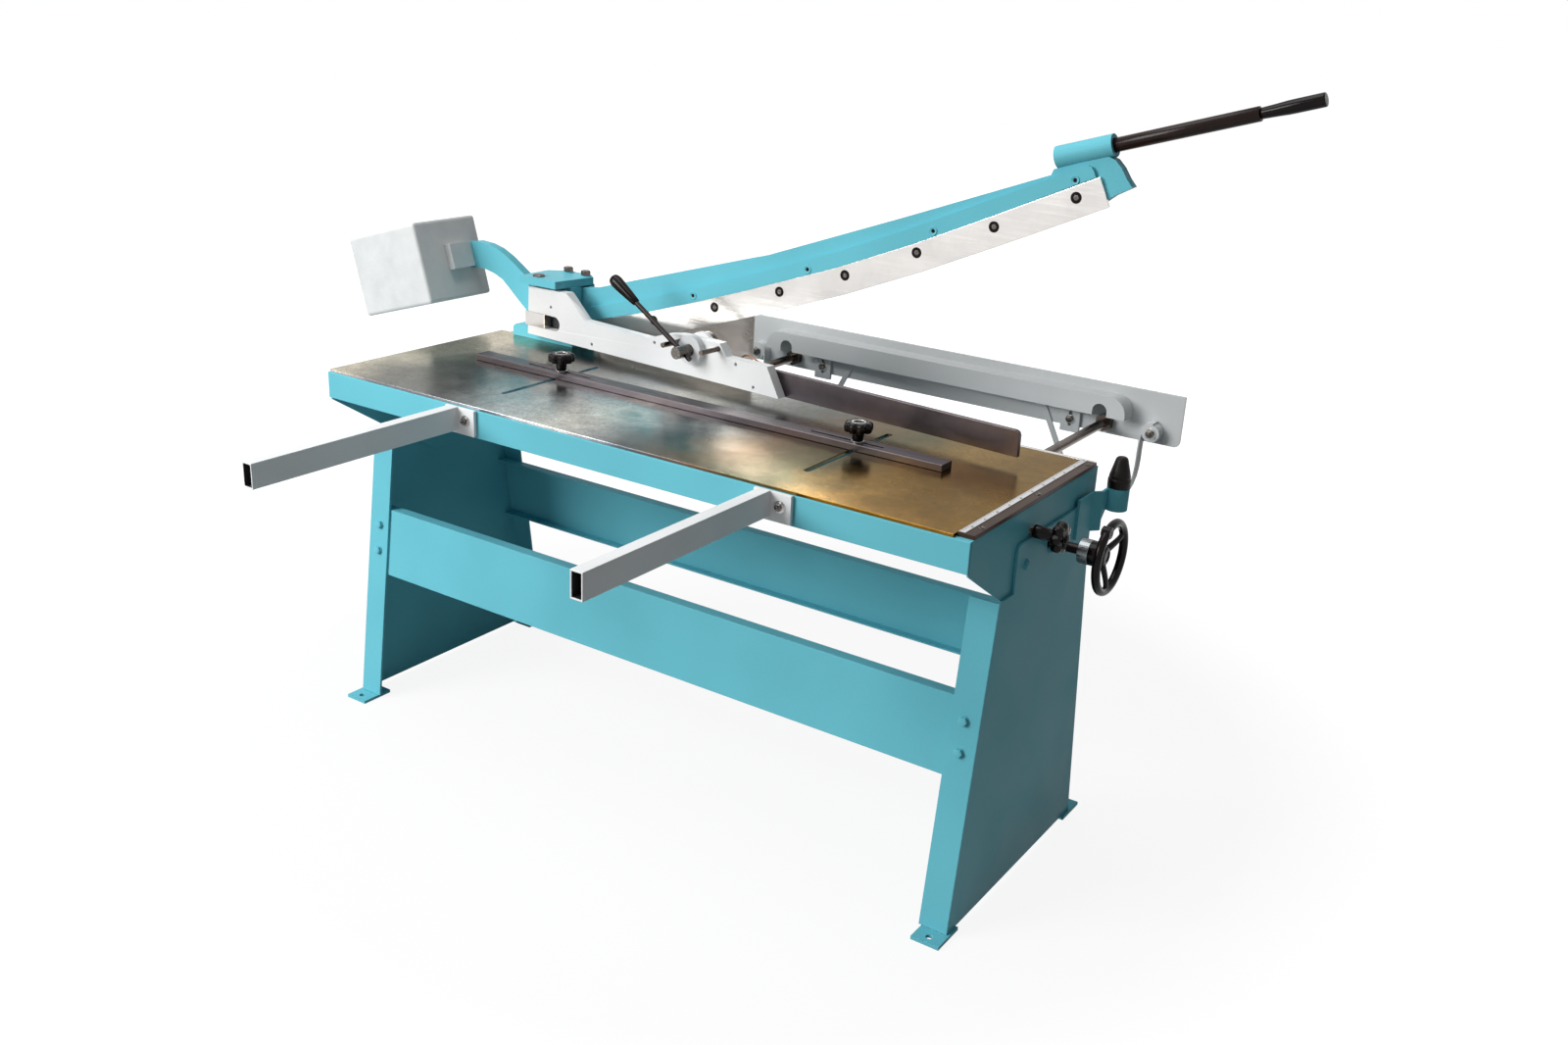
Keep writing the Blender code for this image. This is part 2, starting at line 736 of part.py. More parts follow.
def add_beam_prism(bm, outline, low, high):
    """Extrude an (s, z) outline through the depth of the beam."""
    near = [bm.verts.new(beam_point(s, low, z)) for s, z in outline]
    far = [bm.verts.new(beam_point(s, high, z)) for s, z in outline]
    faces = [bm.faces.new(near), bm.faces.new(far)]
    count = len(outline)
    for i in range(count):
        j = (i + 1) % count
        faces.append(bm.faces.new((near[i], near[j], far[j], far[i])))
    bmesh.ops.recalc_face_normals(bm, faces=faces)


def build_hold_down():
    """Slide block, beam plate, presser bar, stop pins, bearing plate and lever."""
    hinge = beam_point(0.027, 0.0125, 0.911)
    block = bmesh.new()
    add_beam_prism(block, [(-0.008, 0.8935), (0.062, 0.8935), (0.062, 0.9285), (-0.008, 0.9285)], -0.001, 0.026)
    new_object("slide_block", block, hinge, steel())

    outline = [
        (0.000, 0.8710),
        (0.005, 0.9910),
        (0.139, 0.9950),
        (0.202, 0.9380),
        (0.4205, 0.9345),
        (0.4360, 0.9420),
        (0.4700, 0.9540),
        (0.5100, 0.9610),
        (0.5460, 0.9635),
        (0.6360, 0.9630),
        (0.6570, 0.9350),
        (0.7750, 0.9360),
        (0.8110, 0.8710),
    ]
    face = bmesh.new()
    add_beam_prism(face, outline, 0.0, BEAM_THICKNESS)
    beam = new_object("hold_down_plate", face, hinge, white_enamel())
    holes = bmesh.new()
    slot = [(-0.05, 0.8930)] + arc((0.0975, 0.911), 0.018, -90, 90, 12) + [(-0.05, 0.9290)]
    add_beam_prism(holes, slot, -0.02, 0.05)
    shaft_bore = arc((LEVER_S, LEVER_Z), 0.0145, 0, 345, 23)
    add_beam_prism(holes, shaft_bore, -0.02, 0.05)
    for s, z in ((0.085, 0.9515), (0.228, 0.885), (0.436, 0.928), (0.685, 0.924), (0.738, 0.882)):
        add_beam_prism(holes, arc((s, z), 0.004, 0, 330, 11), -0.02, 0.05)
    for s, z in ((0.517, 0.946), (0.6325, 0.950)):
        add_beam_prism(holes, arc((s, z), 0.0063, 0, 337.5, 15), -0.02, 0.05)

    press = bmesh.new()
    back = BEAM_THICKNESS + GAP
    outline = [
        (0.150, 0.8700),
        (1.400, 0.8700),
        (1.400, 0.9150),
        (1.397, 0.9220),
        (1.390, 0.9250),
        (0.620, 0.9250),
        (0.620, 0.8980),
        (0.150, 0.8980),
    ]
    add_beam_prism(press, outline, back, back + 0.010)
    new_object("presser_bar", press, beam_point(0.150, back, 0.870), dark_steel())

    bearing = bmesh.new()
    outline = [(0.500, 0.8985), (0.612, 0.8985), (0.612, 0.955)]
    outline += arc((LEVER_S, 0.936), 0.036, 35, 145, 10) + [(0.500, 0.955)]
    add_beam_prism(bearing, outline, BEAM_THICKNESS - 0.001, back + 0.0095)
    join(beam, bearing)
    cut(beam, holes)

    for side, s, z in (("left", 0.517, 0.946), ("right", 0.6325, 0.950)):
        pin = bmesh.new()
        add_cylinder(pin, beam_point(s, -0.060, z), beam_point(s, 0.0245, z), 0.0060, 20)
        new_object(f"{side}_stop_pin", pin, beam_point(s, 0.0, z), dark_steel())

    centre = beam_point(LEVER_S, 0, LEVER_Z)
    depth = beam_point(LEVER_S, 1, LEVER_Z) - centre
    profile = [(-0.063, 0.0140), (0.0352, 0.0140), (0.0353, 0.0340), (0.0500, 0.0340)]
    core = bmesh.new()
    add_profile(core, centre, depth, profile, 40)
    shaft = new_object("lever_shaft", core, centre, dark_steel())
    along = (beam_point(LEVER_S + math.cos(LEVER_ANGLE), 0, LEVER_Z + math.sin(LEVER_ANGLE)) - centre).normalized()
    middle = beam_point(LEVER_S, -0.040, LEVER_Z)
    cross = bmesh.new()
    add_cylinder(cross, middle - along * 0.04, middle + along * 0.04, 0.0063, 20)
    cut(shaft, cross)

    rod = bmesh.new()
    add_profile(rod, middle, along, [(-0.028, 0.0060), (0.215, 0.0060)], 20)
    new_object("lever_rod", rod, middle, dark_steel())

    disc = bmesh.new()
    add_profile(disc, centre, depth, [(-0.018, 0.0340), (-0.0003, 0.0340)], 48)
    collar = new_object("lever_disc", disc, centre, steel())
    bore = bmesh.new()
    add_profile(bore, centre, depth, [(-0.05, 0.0143), (0.03, 0.0143)], 40)
    cut(collar, bore)

    grip = bmesh.new()
    profile = [(0.170, 0.0085), (0.178, 0.0100), (0.215, 0.0130), (0.245, 0.0150), (0.256, 0.0130), (0.260, 0.0080)]
    add_profile(grip, middle, along, profile, 28)
    handle = new_object("lever_grip", grip, middle + along * 0.170, black_plastic())
    socket = bmesh.new()
    add_cylinder(socket, middle + along * 0.150, middle + along * 0.2155, 0.0063, 20)
    cut(handle, socket)


def build_rear_gauge():
    """Racked rods with their nuts, gauge plate, cover, brackets, braces and spring straps."""
    for side, x in zip(("left", "right"), ROD_X):
        bar = bmesh.new()
        add_cylinder(bar, (x, ROD_FRONT, ROD_Z), (x, GAUGE_FACE - 2 * GAP, ROD_Z), ROD_RADIUS, 28)
        rod = new_object(f"{side}_gauge_rod", bar, (x, ROD_FRONT, ROD_Z), steel())
        nut = bmesh.new()
        hexagon = arc((x, ROD_Z), 0.0215, 30, 330, 5)
        add_prism(nut, hexagon, "Y", GAUGE_FACE - 0.0185, GAUGE_FACE - GAP)
        join(rod, nut)

    plate = bmesh.new()
    low, high = GAUGE_X
    bottom, top = GAUGE_Z
    outline = [
        (low, bottom),
        (high - 0.012, bottom),
        (high - 0.004, bottom + 0.004),
        (high, bottom + 0.012),
        (high, top),
        (low + 0.030, top),
        (low, top - 0.012),
    ]
    add_prism(plate, outline, "Y", GAUGE_FACE, GAUGE_FACE + 0.005)
    new_object("rear_gauge_plate", plate, (0.208, GAUGE_FACE, bottom), grey_enamel())

    cover = bmesh.new()
    near = GAUGE_FACE - 0.052
    outline = arc((-0.275, 0.818), 0.040, 180, 90, 8) + arc((0.660, 0.818), 0.040, 90, 0, 8)
    outline += [(0.700, 0.8085), (-0.315, 0.8085)]
    add_prism(cover, outline, "Y", near, GAUGE_FACE - GAP)
    hood = new_object("gauge_cover", cover, (0.208, GAUGE_FACE, 0.8085), grey_enamel())
    hollow = bmesh.new()
    outline = arc((-0.275, 0.818), 0.037, 180, 90, 8) + arc((0.660, 0.818), 0.037, 90, 0, 8)
    outline += [(0.697, 0.790), (-0.312, 0.790)]
    add_prism(hollow, outline, "Y", near + 0.003, GAUGE_FACE + 0.01)
    cut(hood, hollow)
    notches = bmesh.new()
    for x in ROD_X:
        outline = [(x - 0.018, 0.79), (x + 0.018, 0.79)] + arc((x, 0.820), 0.018, 0, 180, 10)
        add_prism(notches, outline, "Y", near - 0.02, near + 0.010)
    cut(hood, notches)

    for side, x in (("left", -0.160), ("right", 0.550)):
        bracket = bmesh.new()
        add_box(bracket, (x - 0.024, GAUGE_FACE - 0.0093, 0.7430), (x + 0.024, GAUGE_FACE - GAP, 0.8075))
        piece = new_object(f"{side}_slotted_bracket", bracket, (x, GAUGE_FACE, 0.7755), grey_enamel())
        slot = bmesh.new()
        add_prism(slot, stadium(0.757, 0.796, x, 0.009, True), "Y", 0.48, 0.56)
        cut(piece, slot)

    for side, lean, x in (("left", -1, -0.067), ("right", 1, 0.469)):
        run = lean * BRACE_LENGTH * math.sin(BRACE_SPLAY)
        fall = BRACE_LENGTH * math.cos(BRACE_SPLAY)
        half = BRACE_WIDTH / 2 / math.cos(BRACE_SPLAY)
        head = 0.8080
        outline = [
            (x - half, head),
            (x + half, head),
            (x + half + run, head - fall),
            (x - half + run, head - fall),
        ]
        brace = bmesh.new()
        add_prism(brace, outline, "Y", GAUGE_FACE - GAP - 0.004, GAUGE_FACE - GAP)
        new_object(f"{side}_gauge_brace", brace, (x, GAUGE_FACE, head), grey_enamel())

    near = GAUGE_FACE - SPACER_DEPTH
    fall = [
        (0.0262, -0.025),
        (0.0268, -0.050),
        (0.0268, -0.073),
        (0.0278, -0.095),
        (0.0305, -0.117),
        (0.0360, -0.139),
        (0.0440, -0.158),
    ]
    for side, x, hang in (("left", SPACER_X[0], 1), ("right", SPACER_X[1], -1)):
        outer = arc((0, 0), SPACER_RADIUS + 0.0045, 100, 0, 10) + fall
        inner = arc((0, 0), SPACER_RADIUS - 0.001, 100, 0, 10) + [(a - 0.003, b - 0.0003) for a, b in fall]
        outline = [(x + hang * a, SPACER_Z + b) for a, b in outer + inner[::-1]]
        strap = bmesh.new()
        add_prism(strap, outline, "Y", near + 0.0005, GAUGE_FACE - 3 * GAP)
        hanger = new_object(f"{side}_strap", strap, (x, GAUGE_FACE - GAP, SPACER_Z), grey_enamel())
        spacer = bmesh.new()
        add_cylinder(spacer, (x, near, SPACER_Z), (x, GAUGE_FACE - GAP, SPACER_Z), SPACER_RADIUS, 32)
        join(hanger, spacer)


def build_gauge_drive():
    """Guide blocks, cross shaft, collar, handwheel and lock knob."""
    for side, x in zip(("left", "right"), ROD_X):
        block = bmesh.new()
        add_box(block, (x - 0.026, -0.258, 0.7300), (x + 0.026, -0.202, FLANGE_TOP - SHEET - GAP))
        guide = new_object(f"{side}_rack_housing", block, (x, SHAFT_Y, ROD_Z), dark_steel())
        bores = bmesh.new()
        add_cylinder(bores, (x, -0.35, ROD_Z), (x, -0.10, ROD_Z), ROD_RADIUS + GAP, 28)
        add_cylinder(bores, (x - 0.05, SHAFT_Y, SHAFT_Z), (x + 0.05, SHAFT_Y, SHAFT_Z), SHAFT_RADIUS + GAP, 28)
        cut(guide, bores)

    shaft = bmesh.new()
    add_cylinder(shaft, (-0.300, SHAFT_Y, SHAFT_Z), (WHEEL_X - 0.0075, SHAFT_Y, SHAFT_Z), SHAFT_RADIUS, 28)
    new_object("cross_shaft", shaft, (0.835, SHAFT_Y, SHAFT_Z), dark_steel())

    collar = bmesh.new()
    left, right = COLLAR_X
    add_cylinder(collar, (left, SHAFT_Y, SHAFT_Z), (right, SHAFT_Y, SHAFT_Z), COLLAR_RADIUS, 40)
    ring = new_object("wheel_collar", collar, (left, SHAFT_Y, SHAFT_Z), steel())
    bore = bmesh.new()
    add_cylinder(bore, (left - 0.02, SHAFT_Y, SHAFT_Z), (right + 0.02, SHAFT_Y, SHAFT_Z), SHAFT_RADIUS + GAP, 28)
    cut(ring, bore)

    rim = bmesh.new()
    steps = 48
    section = 10
    ring_radius = WHEEL_RADIUS - RIM_RADIUS
    rings = []
    for i in range(steps):
        turn = 2 * math.pi * i / steps
        loop = []
        for k in range(section):
            roll = 2 * math.pi * k / section
            size = ring_radius + RIM_RADIUS * math.cos(roll)
            loop.append(
                rim.verts.new(
                    (
                        WHEEL_X + RIM_RADIUS * math.sin(roll),
                        SHAFT_Y + size * math.cos(turn),
                        SHAFT_Z + size * math.sin(turn),
                    )
                )
            )
        rings.append(loop)
    faces = []
    for i in range(steps):
        a = rings[i]
        b = rings[(i + 1) % steps]
        for k in range(section):
            m = (k + 1) % section
            faces.append(rim.faces.new((a[k], a[m], b[m], b[k])))
    bmesh.ops.recalc_face_normals(rim, faces=faces)
    wheel = new_object("handwheel", rim, (WHEEL_X, SHAFT_Y, SHAFT_Z), black_plastic(), 50.0)
    for spoke in range(3):
        turn = math.radians(30 + 120 * spoke)
        arm = bmesh.new()
        reach = Vector((0, math.cos(turn), math.sin(turn)))
        add_cylinder(
            arm,
            Vector((WHEEL_X - 0.016, SHAFT_Y, SHAFT_Z)) + reach * 0.012,
            Vector((WHEEL_X, SHAFT_Y, SHAFT_Z)) + reach * (ring_radius - 0.002),
            0.0080,
            16,
            0.0065,
        )
        join(wheel, arm)
    hub = bmesh.new()
    start = (COLLAR_X[1] + GAP, SHAFT_Y, SHAFT_Z)
    profile = [(0.0, 0.0245), (0.0145, 0.0245), (0.0220, 0.0205), (0.0300, 0.0185), (0.0318, 0.0150)]
    add_profile(hub, start, (1, 0, 0), profile, 36)
    join(wheel, hub)
    bore = bmesh.new()
    low = (COLLAR_X[1] - 0.02, SHAFT_Y, SHAFT_Z)
    high = (WHEEL_X + 0.02, SHAFT_Y, SHAFT_Z)
    add_cylinder(bore, low, high, SHAFT_RADIUS + GAP, 28)
    cut(wheel, bore)

    stud = bmesh.new()
    profile = [
        (0.0, 0.0080),
        (0.0345, 0.0080),
        (0.0350, 0.0130),
        (0.0590, 0.0130),
        (0.0595, 0.0117),
        (0.0780, 0.0117),
    ]
    add_profile(stud, (LEG_OUTER - 0.034, LOCK_Y, LOCK_Z), (1, 0, 0), profile, 28)
    knob = new_object("lock_knob", stud, (0.8325, LOCK_Y, LOCK_Z), black_plastic())
    head = bmesh.new()
    near = LEG_OUTER + 0.0415
    add_prism(head, lobed((LOCK_Y, LOCK_Z), 0.0305, 7, 0.0050, 70), "X", near, near + 0.0225)
    join(knob, head)


def build_bumper():
    """Cranked bracket with a round seat, and the rubber buffer that stops the arm."""
    seat = (LEG_OUTER + 0.034, 0.018)
    bracket = bmesh.new()
    steps = [
        (0.0003, -0.1100),
        (0.0058, -0.1100),
        (0.0058, -0.0400),
        (0.0200, -0.0240),
        (0.0200, 0.0080),
        (0.0140, 0.0080),
        (0.0140, -0.0215),
        (0.0003, -0.0365),
    ]
    outline = [(LEG_OUTER + out, y) for out, y in steps]
    add_prism(bracket, outline, "Z", 0.7150, 0.7990)
    piece = new_object("bumper_bracket", bracket, (LEG_OUTER + GAP, -0.0365, 0.7570), teal())
    boss = bmesh.new()
    add_cylinder(boss, (seat[0], seat[1], 0.7540), (seat[0], seat[1], 0.8010), 0.0232, 36)
    join(piece, boss)
    chamfer = bmesh.new()
    corner = [(-0.020, 0.700), (0.060, 0.700), (0.060, 0.7538), (-0.004, 0.7538), (-0.020, 0.738)]
    add_prism(chamfer, corner, "X", LEG_OUTER - 0.012, LEG_OUTER + 0.058)
    cut(piece, chamfer)

    buffer = bmesh.new()
    profile = [
        (0.0, 0.0225),
        (0.0030, 0.0235),
        (0.0190, 0.0235),
        (0.0205, 0.0225),
        (0.0560, 0.0135),
        (0.0625, 0.0115),
        (0.0650, 0.0080),
    ]
    add_profile(buffer, (seat[0], seat[1], 0.8013), (0, 0, 1), profile, 32)
    new_object("rubber_buffer", buffer, (seat[0], seat[1], 0.8013), rubber())


def stand_on_origin():
    """Carry the finished machine so the origin is on the floor under the middle of its bounding box."""
    bpy.context.view_layer.update()
    graph = bpy.context.evaluated_depsgraph_get()
    corners = []
    for obj in bpy.data.objects:
        if obj.type == "MESH" and not obj.hide_render:
            evaluated = obj.evaluated_get(graph)
            corners += [evaluated.matrix_world @ Vector(corner) for corner in evaluated.bound_box]
    low = Vector([min(corner[i] for corner in corners) for i in range(3)])
    high = Vector([max(corner[i] for corner in corners) for i in range(3)])
    carrier = bpy.data.objects.new("machine", None)
    bpy.context.scene.collection.objects.link(carrier)
    for obj in list(bpy.data.objects):
        if obj is not carrier:
            obj.parent = carrier
    carrier.location = (-(low.x + high.x) / 2, -(low.y + high.y) / 2, -low.z)


clear_scene()
build_stand()
build_table()
build_support_arms()
build_front_gauge()
build_knife_arm()
build_counterweight()
build_pivot_head()
build_hold_down()
build_rear_gauge()
build_gauge_drive()
build_bumper()
stand_on_origin()
bpy.context.view_layer.update()
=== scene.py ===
"""Looks of a lever-operated sheet-metal shear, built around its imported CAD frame.

Metres, +Z up, +X to the operator's right, -Y towards the operator. Every place comes from the
frame: a node's box, a joint's position, or a named offset from one of them.
"""

import json
import math

import bmesh
import bpy
from mathutils import Matrix, Vector


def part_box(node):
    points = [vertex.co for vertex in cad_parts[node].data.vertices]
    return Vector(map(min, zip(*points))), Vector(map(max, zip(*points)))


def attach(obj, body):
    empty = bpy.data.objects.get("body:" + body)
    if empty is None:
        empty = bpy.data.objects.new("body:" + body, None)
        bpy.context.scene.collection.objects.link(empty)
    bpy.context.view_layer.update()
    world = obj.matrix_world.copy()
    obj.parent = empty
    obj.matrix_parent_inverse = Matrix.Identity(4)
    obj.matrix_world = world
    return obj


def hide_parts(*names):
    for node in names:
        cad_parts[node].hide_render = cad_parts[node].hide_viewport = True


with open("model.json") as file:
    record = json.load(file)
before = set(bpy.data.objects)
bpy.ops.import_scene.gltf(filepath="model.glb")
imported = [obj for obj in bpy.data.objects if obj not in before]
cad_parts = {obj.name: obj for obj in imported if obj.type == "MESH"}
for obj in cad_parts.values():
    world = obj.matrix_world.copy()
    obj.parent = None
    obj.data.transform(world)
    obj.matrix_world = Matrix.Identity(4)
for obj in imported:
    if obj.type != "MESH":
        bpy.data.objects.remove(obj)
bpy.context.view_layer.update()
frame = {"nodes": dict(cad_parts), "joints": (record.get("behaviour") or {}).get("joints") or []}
JOINTS = {joint["name"]: joint for joint in frame["joints"]}

X_AXIS = Vector((1, 0, 0))
Y_AXIS = Vector((0, 1, 0))
Z_AXIS = Vector((0, 0, 1))

# Places below are measured from HOME: on the floor, under the middle of the table's cutting edge.
TABLE_LOW, TABLE_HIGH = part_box("table_frame")
HOME = Vector(((TABLE_LOW.x + TABLE_HIGH.x) / 2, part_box("lower_knife")[1].y, 0.0))


def from_home(x, y, z):
    """A place measured from the floor under the middle of the table's cutting edge."""
    return HOME + Vector((x, y, z))


# ---------------------------------------------------------------- node materials

def srgb(code):
    """Linear RGB from a hex colour code."""
    values = [int(code[i:i + 2], 16) / 255 for i in (0, 2, 4)]
    return tuple(v / 12.92 if v <= 0.04045 else ((v + 0.055) / 1.055) ** 2.4 for v in values)


class Surface:
    """A Principled material whose detail is worked out from the object's own coordinates."""

    def __init__(self, name):
        self.material = bpy.data.materials.new(name)
        self.material.use_nodes = True
        self.tree = self.material.node_tree
        self.shader = self.tree.nodes["Principled BSDF"]
        self.place = self.add("ShaderNodeTexCoord").outputs["Object"]

    def add(self, kind, **settings):
        node = self.tree.nodes.new(kind)
        for key, value in settings.items():
            setattr(node, key, value)
        return node

    def feed(self, socket, value):
        """Link an output to a socket, or write a constant on it."""
        if isinstance(value, bpy.types.NodeSocket):
            self.tree.links.new(value, socket)
        elif isinstance(value, (tuple, list)) and len(value) == 3 and socket.type == "RGBA":
            socket.default_value = (*value, 1.0)
        else:
            socket.default_value = value

    def constant(self, **values):
        for key, value in values.items():
            self.feed(self.shader.inputs[key.replace("_", " ")], value)
        return self

    def stretched(self, scale):
        """The object coordinates multiplied by a scale for each axis."""
        node = self.add("ShaderNodeVectorMath", operation="MULTIPLY")
        self.feed(node.inputs[0], self.place)
        node.inputs[1].default_value = scale
        return node.outputs[0]

    def noise(self, scale, detail=3.0, roughness=0.55, stretch=None, distortion=0.0):
        """Fractal noise from 0 to 1, with scale in cells for each metre."""
        node = self.add("ShaderNodeTexNoise")
        self.feed(node.inputs["Vector"], self.stretched(stretch) if stretch else self.place)
        node.inputs["Scale"].default_value = scale
        node.inputs["Detail"].default_value = detail
        node.inputs["Roughness"].default_value = roughness
        node.inputs["Distortion"].default_value = distortion
        return node.outputs["Fac"]

    def cells(self, scale):
        """Distance to the nearest of a scatter of points."""
        node = self.add("ShaderNodeTexVoronoi")
        self.feed(node.inputs["Vector"], self.place)
        node.inputs["Scale"].default_value = scale
        return node.outputs["Distance"]

    def axis(self, index):
        """One of the object coordinates, in metres."""
        node = self.add("ShaderNodeSeparateXYZ")
        self.feed(node.inputs[0], self.place)
        return node.outputs[index]

    def math(self, operation, a, b=0.0):
        node = self.add("ShaderNodeMath", operation=operation)
        self.feed(node.inputs[0], a)
        self.feed(node.inputs[1], b)
        return node.outputs[0]

    def span(self, value, low, high, to_low=0.0, to_high=1.0):
        """Clamped straight-line map from low..high to to_low..to_high."""
        node = self.add("ShaderNodeMapRange")
        self.feed(node.inputs["Value"], value)
        node.inputs["From Min"].default_value = low
        node.inputs["From Max"].default_value = high
        node.inputs["To Min"].default_value = to_low
        node.inputs["To Max"].default_value = to_high
        return node.outputs["Result"]

    def ramp(self, value, stops):
        """Colour ramp through (position, colour) stops."""
        node = self.add("ShaderNodeValToRGB")
        self.feed(node.inputs["Fac"], value)
        elements = node.color_ramp.elements
        while len(elements) < len(stops):
            elements.new(0.5)
        for element, (position, colour) in zip(elements, stops):
            element.position = position
            element.color = (*colour, 1.0)
        return node.outputs["Color"]

    def blend(self, factor, a, b, mode="MIX"):
        node = self.add("ShaderNodeMix", data_type="RGBA", blend_type=mode)
        self.feed(node.inputs["Factor"], factor)
        self.feed(node.inputs[6], a)
        self.feed(node.inputs[7], b)
        return node.outputs[2]

    def bump(self, height, strength, distance, under=None):
        node = self.add("ShaderNodeBump")
        self.feed(node.inputs["Height"], height)
        node.inputs["Strength"].default_value = strength
        node.inputs["Distance"].default_value = distance
        if under is not None:
            self.feed(node.inputs["Normal"], under)
        return node.outputs["Normal"]


def scaled(colour, factor):
    return tuple(channel * factor for channel in colour)


def enamel(name, code, roughness=0.36, peel=1.0, specular=0.35):
    """Sprayed enamel: slow tone drift, fine speckle, orange peel and a few smudges."""
    s = Surface(name)
    base = srgb(code)
    drift = s.span(s.noise(3.0, 2.0), 0.30, 0.70)
    tone = s.ramp(drift, [(0.0, scaled(base, 0.93)), (1.0, scaled(base, 1.05))])
    speck = s.ramp(s.span(s.noise(620.0, 2.0), 0.30, 0.70), [(0.0, (0.93, 0.93, 0.93)), (1.0, (1, 1, 1))])
    s.feed(s.shader.inputs["Base Color"], s.blend(1.0, tone, speck, "MULTIPLY"))
    smudge = s.span(s.noise(9.0, 4.0), 0.35, 0.75, roughness - 0.05, roughness + 0.10)
    s.feed(s.shader.inputs["Roughness"], smudge)
    fine = s.bump(s.noise(900.0, 2.0), 0.10 * peel, 0.0006)
    s.feed(s.shader.inputs["Normal"], s.bump(s.noise(160.0, 2.0), 0.06 * peel, 0.002, fine))
    return s.constant(Specular_IOR_Level=specular).material


def cast_enamel(name, code):
    """Thick enamel over rough-cast or welded metal, with soft hollows."""
    s = Surface(name)
    base = srgb(code)
    patch = s.span(s.noise(14.0, 5.0, 0.6), 0.30, 0.72)
    tone = s.ramp(patch, [(0.0, scaled(base, 0.90)), (0.6, base), (1.0, scaled(base, 1.05))])
    s.feed(s.shader.inputs["Base Color"], tone)
    s.feed(s.shader.inputs["Roughness"], s.span(s.noise(40.0), 0.3, 0.7, 0.32, 0.50))
    coarse = s.bump(s.noise(38.0, 4.0, 0.6), 0.30, 0.004)
    s.feed(s.shader.inputs["Normal"], s.bump(s.noise(420.0, 2.0), 0.12, 0.0008, coarse))
    return s.constant(Specular_IOR_Level=0.4).material


def ground_steel(name, light, dark, grain, roughness=0.22, along=(1.0, 1.0, 1.0), relief=0.07):
    """Ground or drawn steel: fine grain lines, cloudy tone and patchy polish."""
    s = Surface(name)
    cloud = s.span(s.noise(11.0, 4.0, 0.6), 0.30, 0.72)
    lines = s.noise(grain, 3.0, 0.6, along)
    total = s.math("ADD", s.math("MULTIPLY", cloud, 0.6), s.math("MULTIPLY", lines, 0.45))
    s.feed(s.shader.inputs["Base Color"], s.ramp(total, [(0.15, srgb(dark)), (0.80, srgb(light))]))
    s.feed(s.shader.inputs["Roughness"], s.span(lines, 0.3, 0.7, roughness - 0.05, roughness + 0.08))
    s.feed(s.shader.inputs["Normal"], s.bump(lines, relief, 0.0003))
    return s.constant(Metallic=1.0).material


# Painted reflection on the table: tones of the surroundings mirrored by the polished plate, with a painted
# highlight near the middle, from its left end (0) to its right end (1).
TABLE_REFLECTION_TONES = (
    (0.00, "e9e2d6"), (0.07, "f4ece0"), (0.15, "98989d"), (0.25, "9a9da4"), (0.36, "d3dbe4"),
    (0.45, "fdfdfc"), (0.52, "b4bac2"), (0.59, "6d757e"), (0.67, "755f50"), (0.76, "5a5740"),
    (0.85, "9a7534"), (0.92, "7d591b"), (1.00, "8f6a2b"),
)
TABLE_REFLECTION_RANGE = (-0.80, 0.90)
TABLE_REFLECTION_LEAN = -0.25


def table_steel(name):
    """Oiled, polished table plate with a painted reflection in its colour: the tone runs from cool grey at
    the left to straw at the right, with random darker clouds over it.
    """
    s = Surface(name)
    cloud = s.noise(3.4, 4.0, 0.6, (1.0, 1.5, 1.0), 0.8)
    across = s.math("SUBTRACT", s.axis(0), HOME.x)
    depth = s.math("SUBTRACT", s.axis(1), HOME.y)
    run = s.math("ADD", across, s.span(cloud, 0.25, 0.75, -0.07, 0.07))
    run = s.math("ADD", run, s.math("MULTIPLY", depth, TABLE_REFLECTION_LEAN))
    along = s.span(run, *TABLE_REFLECTION_RANGE)
    # Painted reflection: tone ramp along the table, from the left end to the right end.
    tone = s.ramp(along, [(position, srgb(code)) for position, code in TABLE_REFLECTION_TONES])
    # Random darker clouds multiplied over the painted reflection tones.
    mottle = s.span(s.noise(26.0, 5.0, 0.65), 0.32, 0.70, 0.78, 1.10)
    mottle_tint = s.ramp(s.span(mottle, 0.70, 1.10), [(0.0, (0.66, 0.65, 0.63)), (1.0, (1.0, 1.0, 1.0))])
    pebble = s.span(s.noise(190.0, 3.0, 0.65), 0.30, 0.66)
    grit = s.ramp(pebble, [(0.0, (0.62, 0.61, 0.59)), (1.0, (1.0, 1.0, 1.0))])
    mottled_reflection = s.blend(1.0, tone, mottle_tint, "MULTIPLY")
    s.feed(s.shader.inputs["Base Color"], s.blend(1.0, mottled_reflection, grit, "MULTIPLY"))
    sparkle = s.noise(320.0, 3.0, 0.7)
    polish = s.span(s.noise(7.0, 4.0, 0.6), 0.32, 0.70, 0.15, 0.29)
    s.feed(s.shader.inputs["Roughness"], polish)
    s.feed(s.shader.inputs["Specular Tint"], (0.80, 0.78, 0.70))
    grain = s.bump(s.noise(60.0, 4.0, 0.6, (1.0, 9.0, 1.0)), 0.05, 0.0006)
    s.feed(s.shader.inputs["Normal"], s.bump(sparkle, 0.16, 0.0005, grain))
    return s.constant(Metallic=1.0).material


def moulded(name, code, roughness=0.16, texture=0.05, specular=0.25, smear=0.14):
    """Glossy moulded plastic with faint flow marks and finger smears."""
    s = Surface(name)
    base = srgb(code)
    flow = s.span(s.noise(30.0, 3.0), 0.3, 0.7)
    s.feed(s.shader.inputs["Base Color"], s.ramp(flow, [(0.0, scaled(base, 0.8)), (1.0, scaled(base, 1.5))]))
    s.feed(s.shader.inputs["Roughness"], s.span(s.noise(70.0, 4.0), 0.35, 0.7, roughness, roughness + smear))
    s.feed(s.shader.inputs["Normal"], s.bump(s.noise(300.0, 2.0), texture, 0.0006))
    return s.constant(Specular_IOR_Level=specular).material


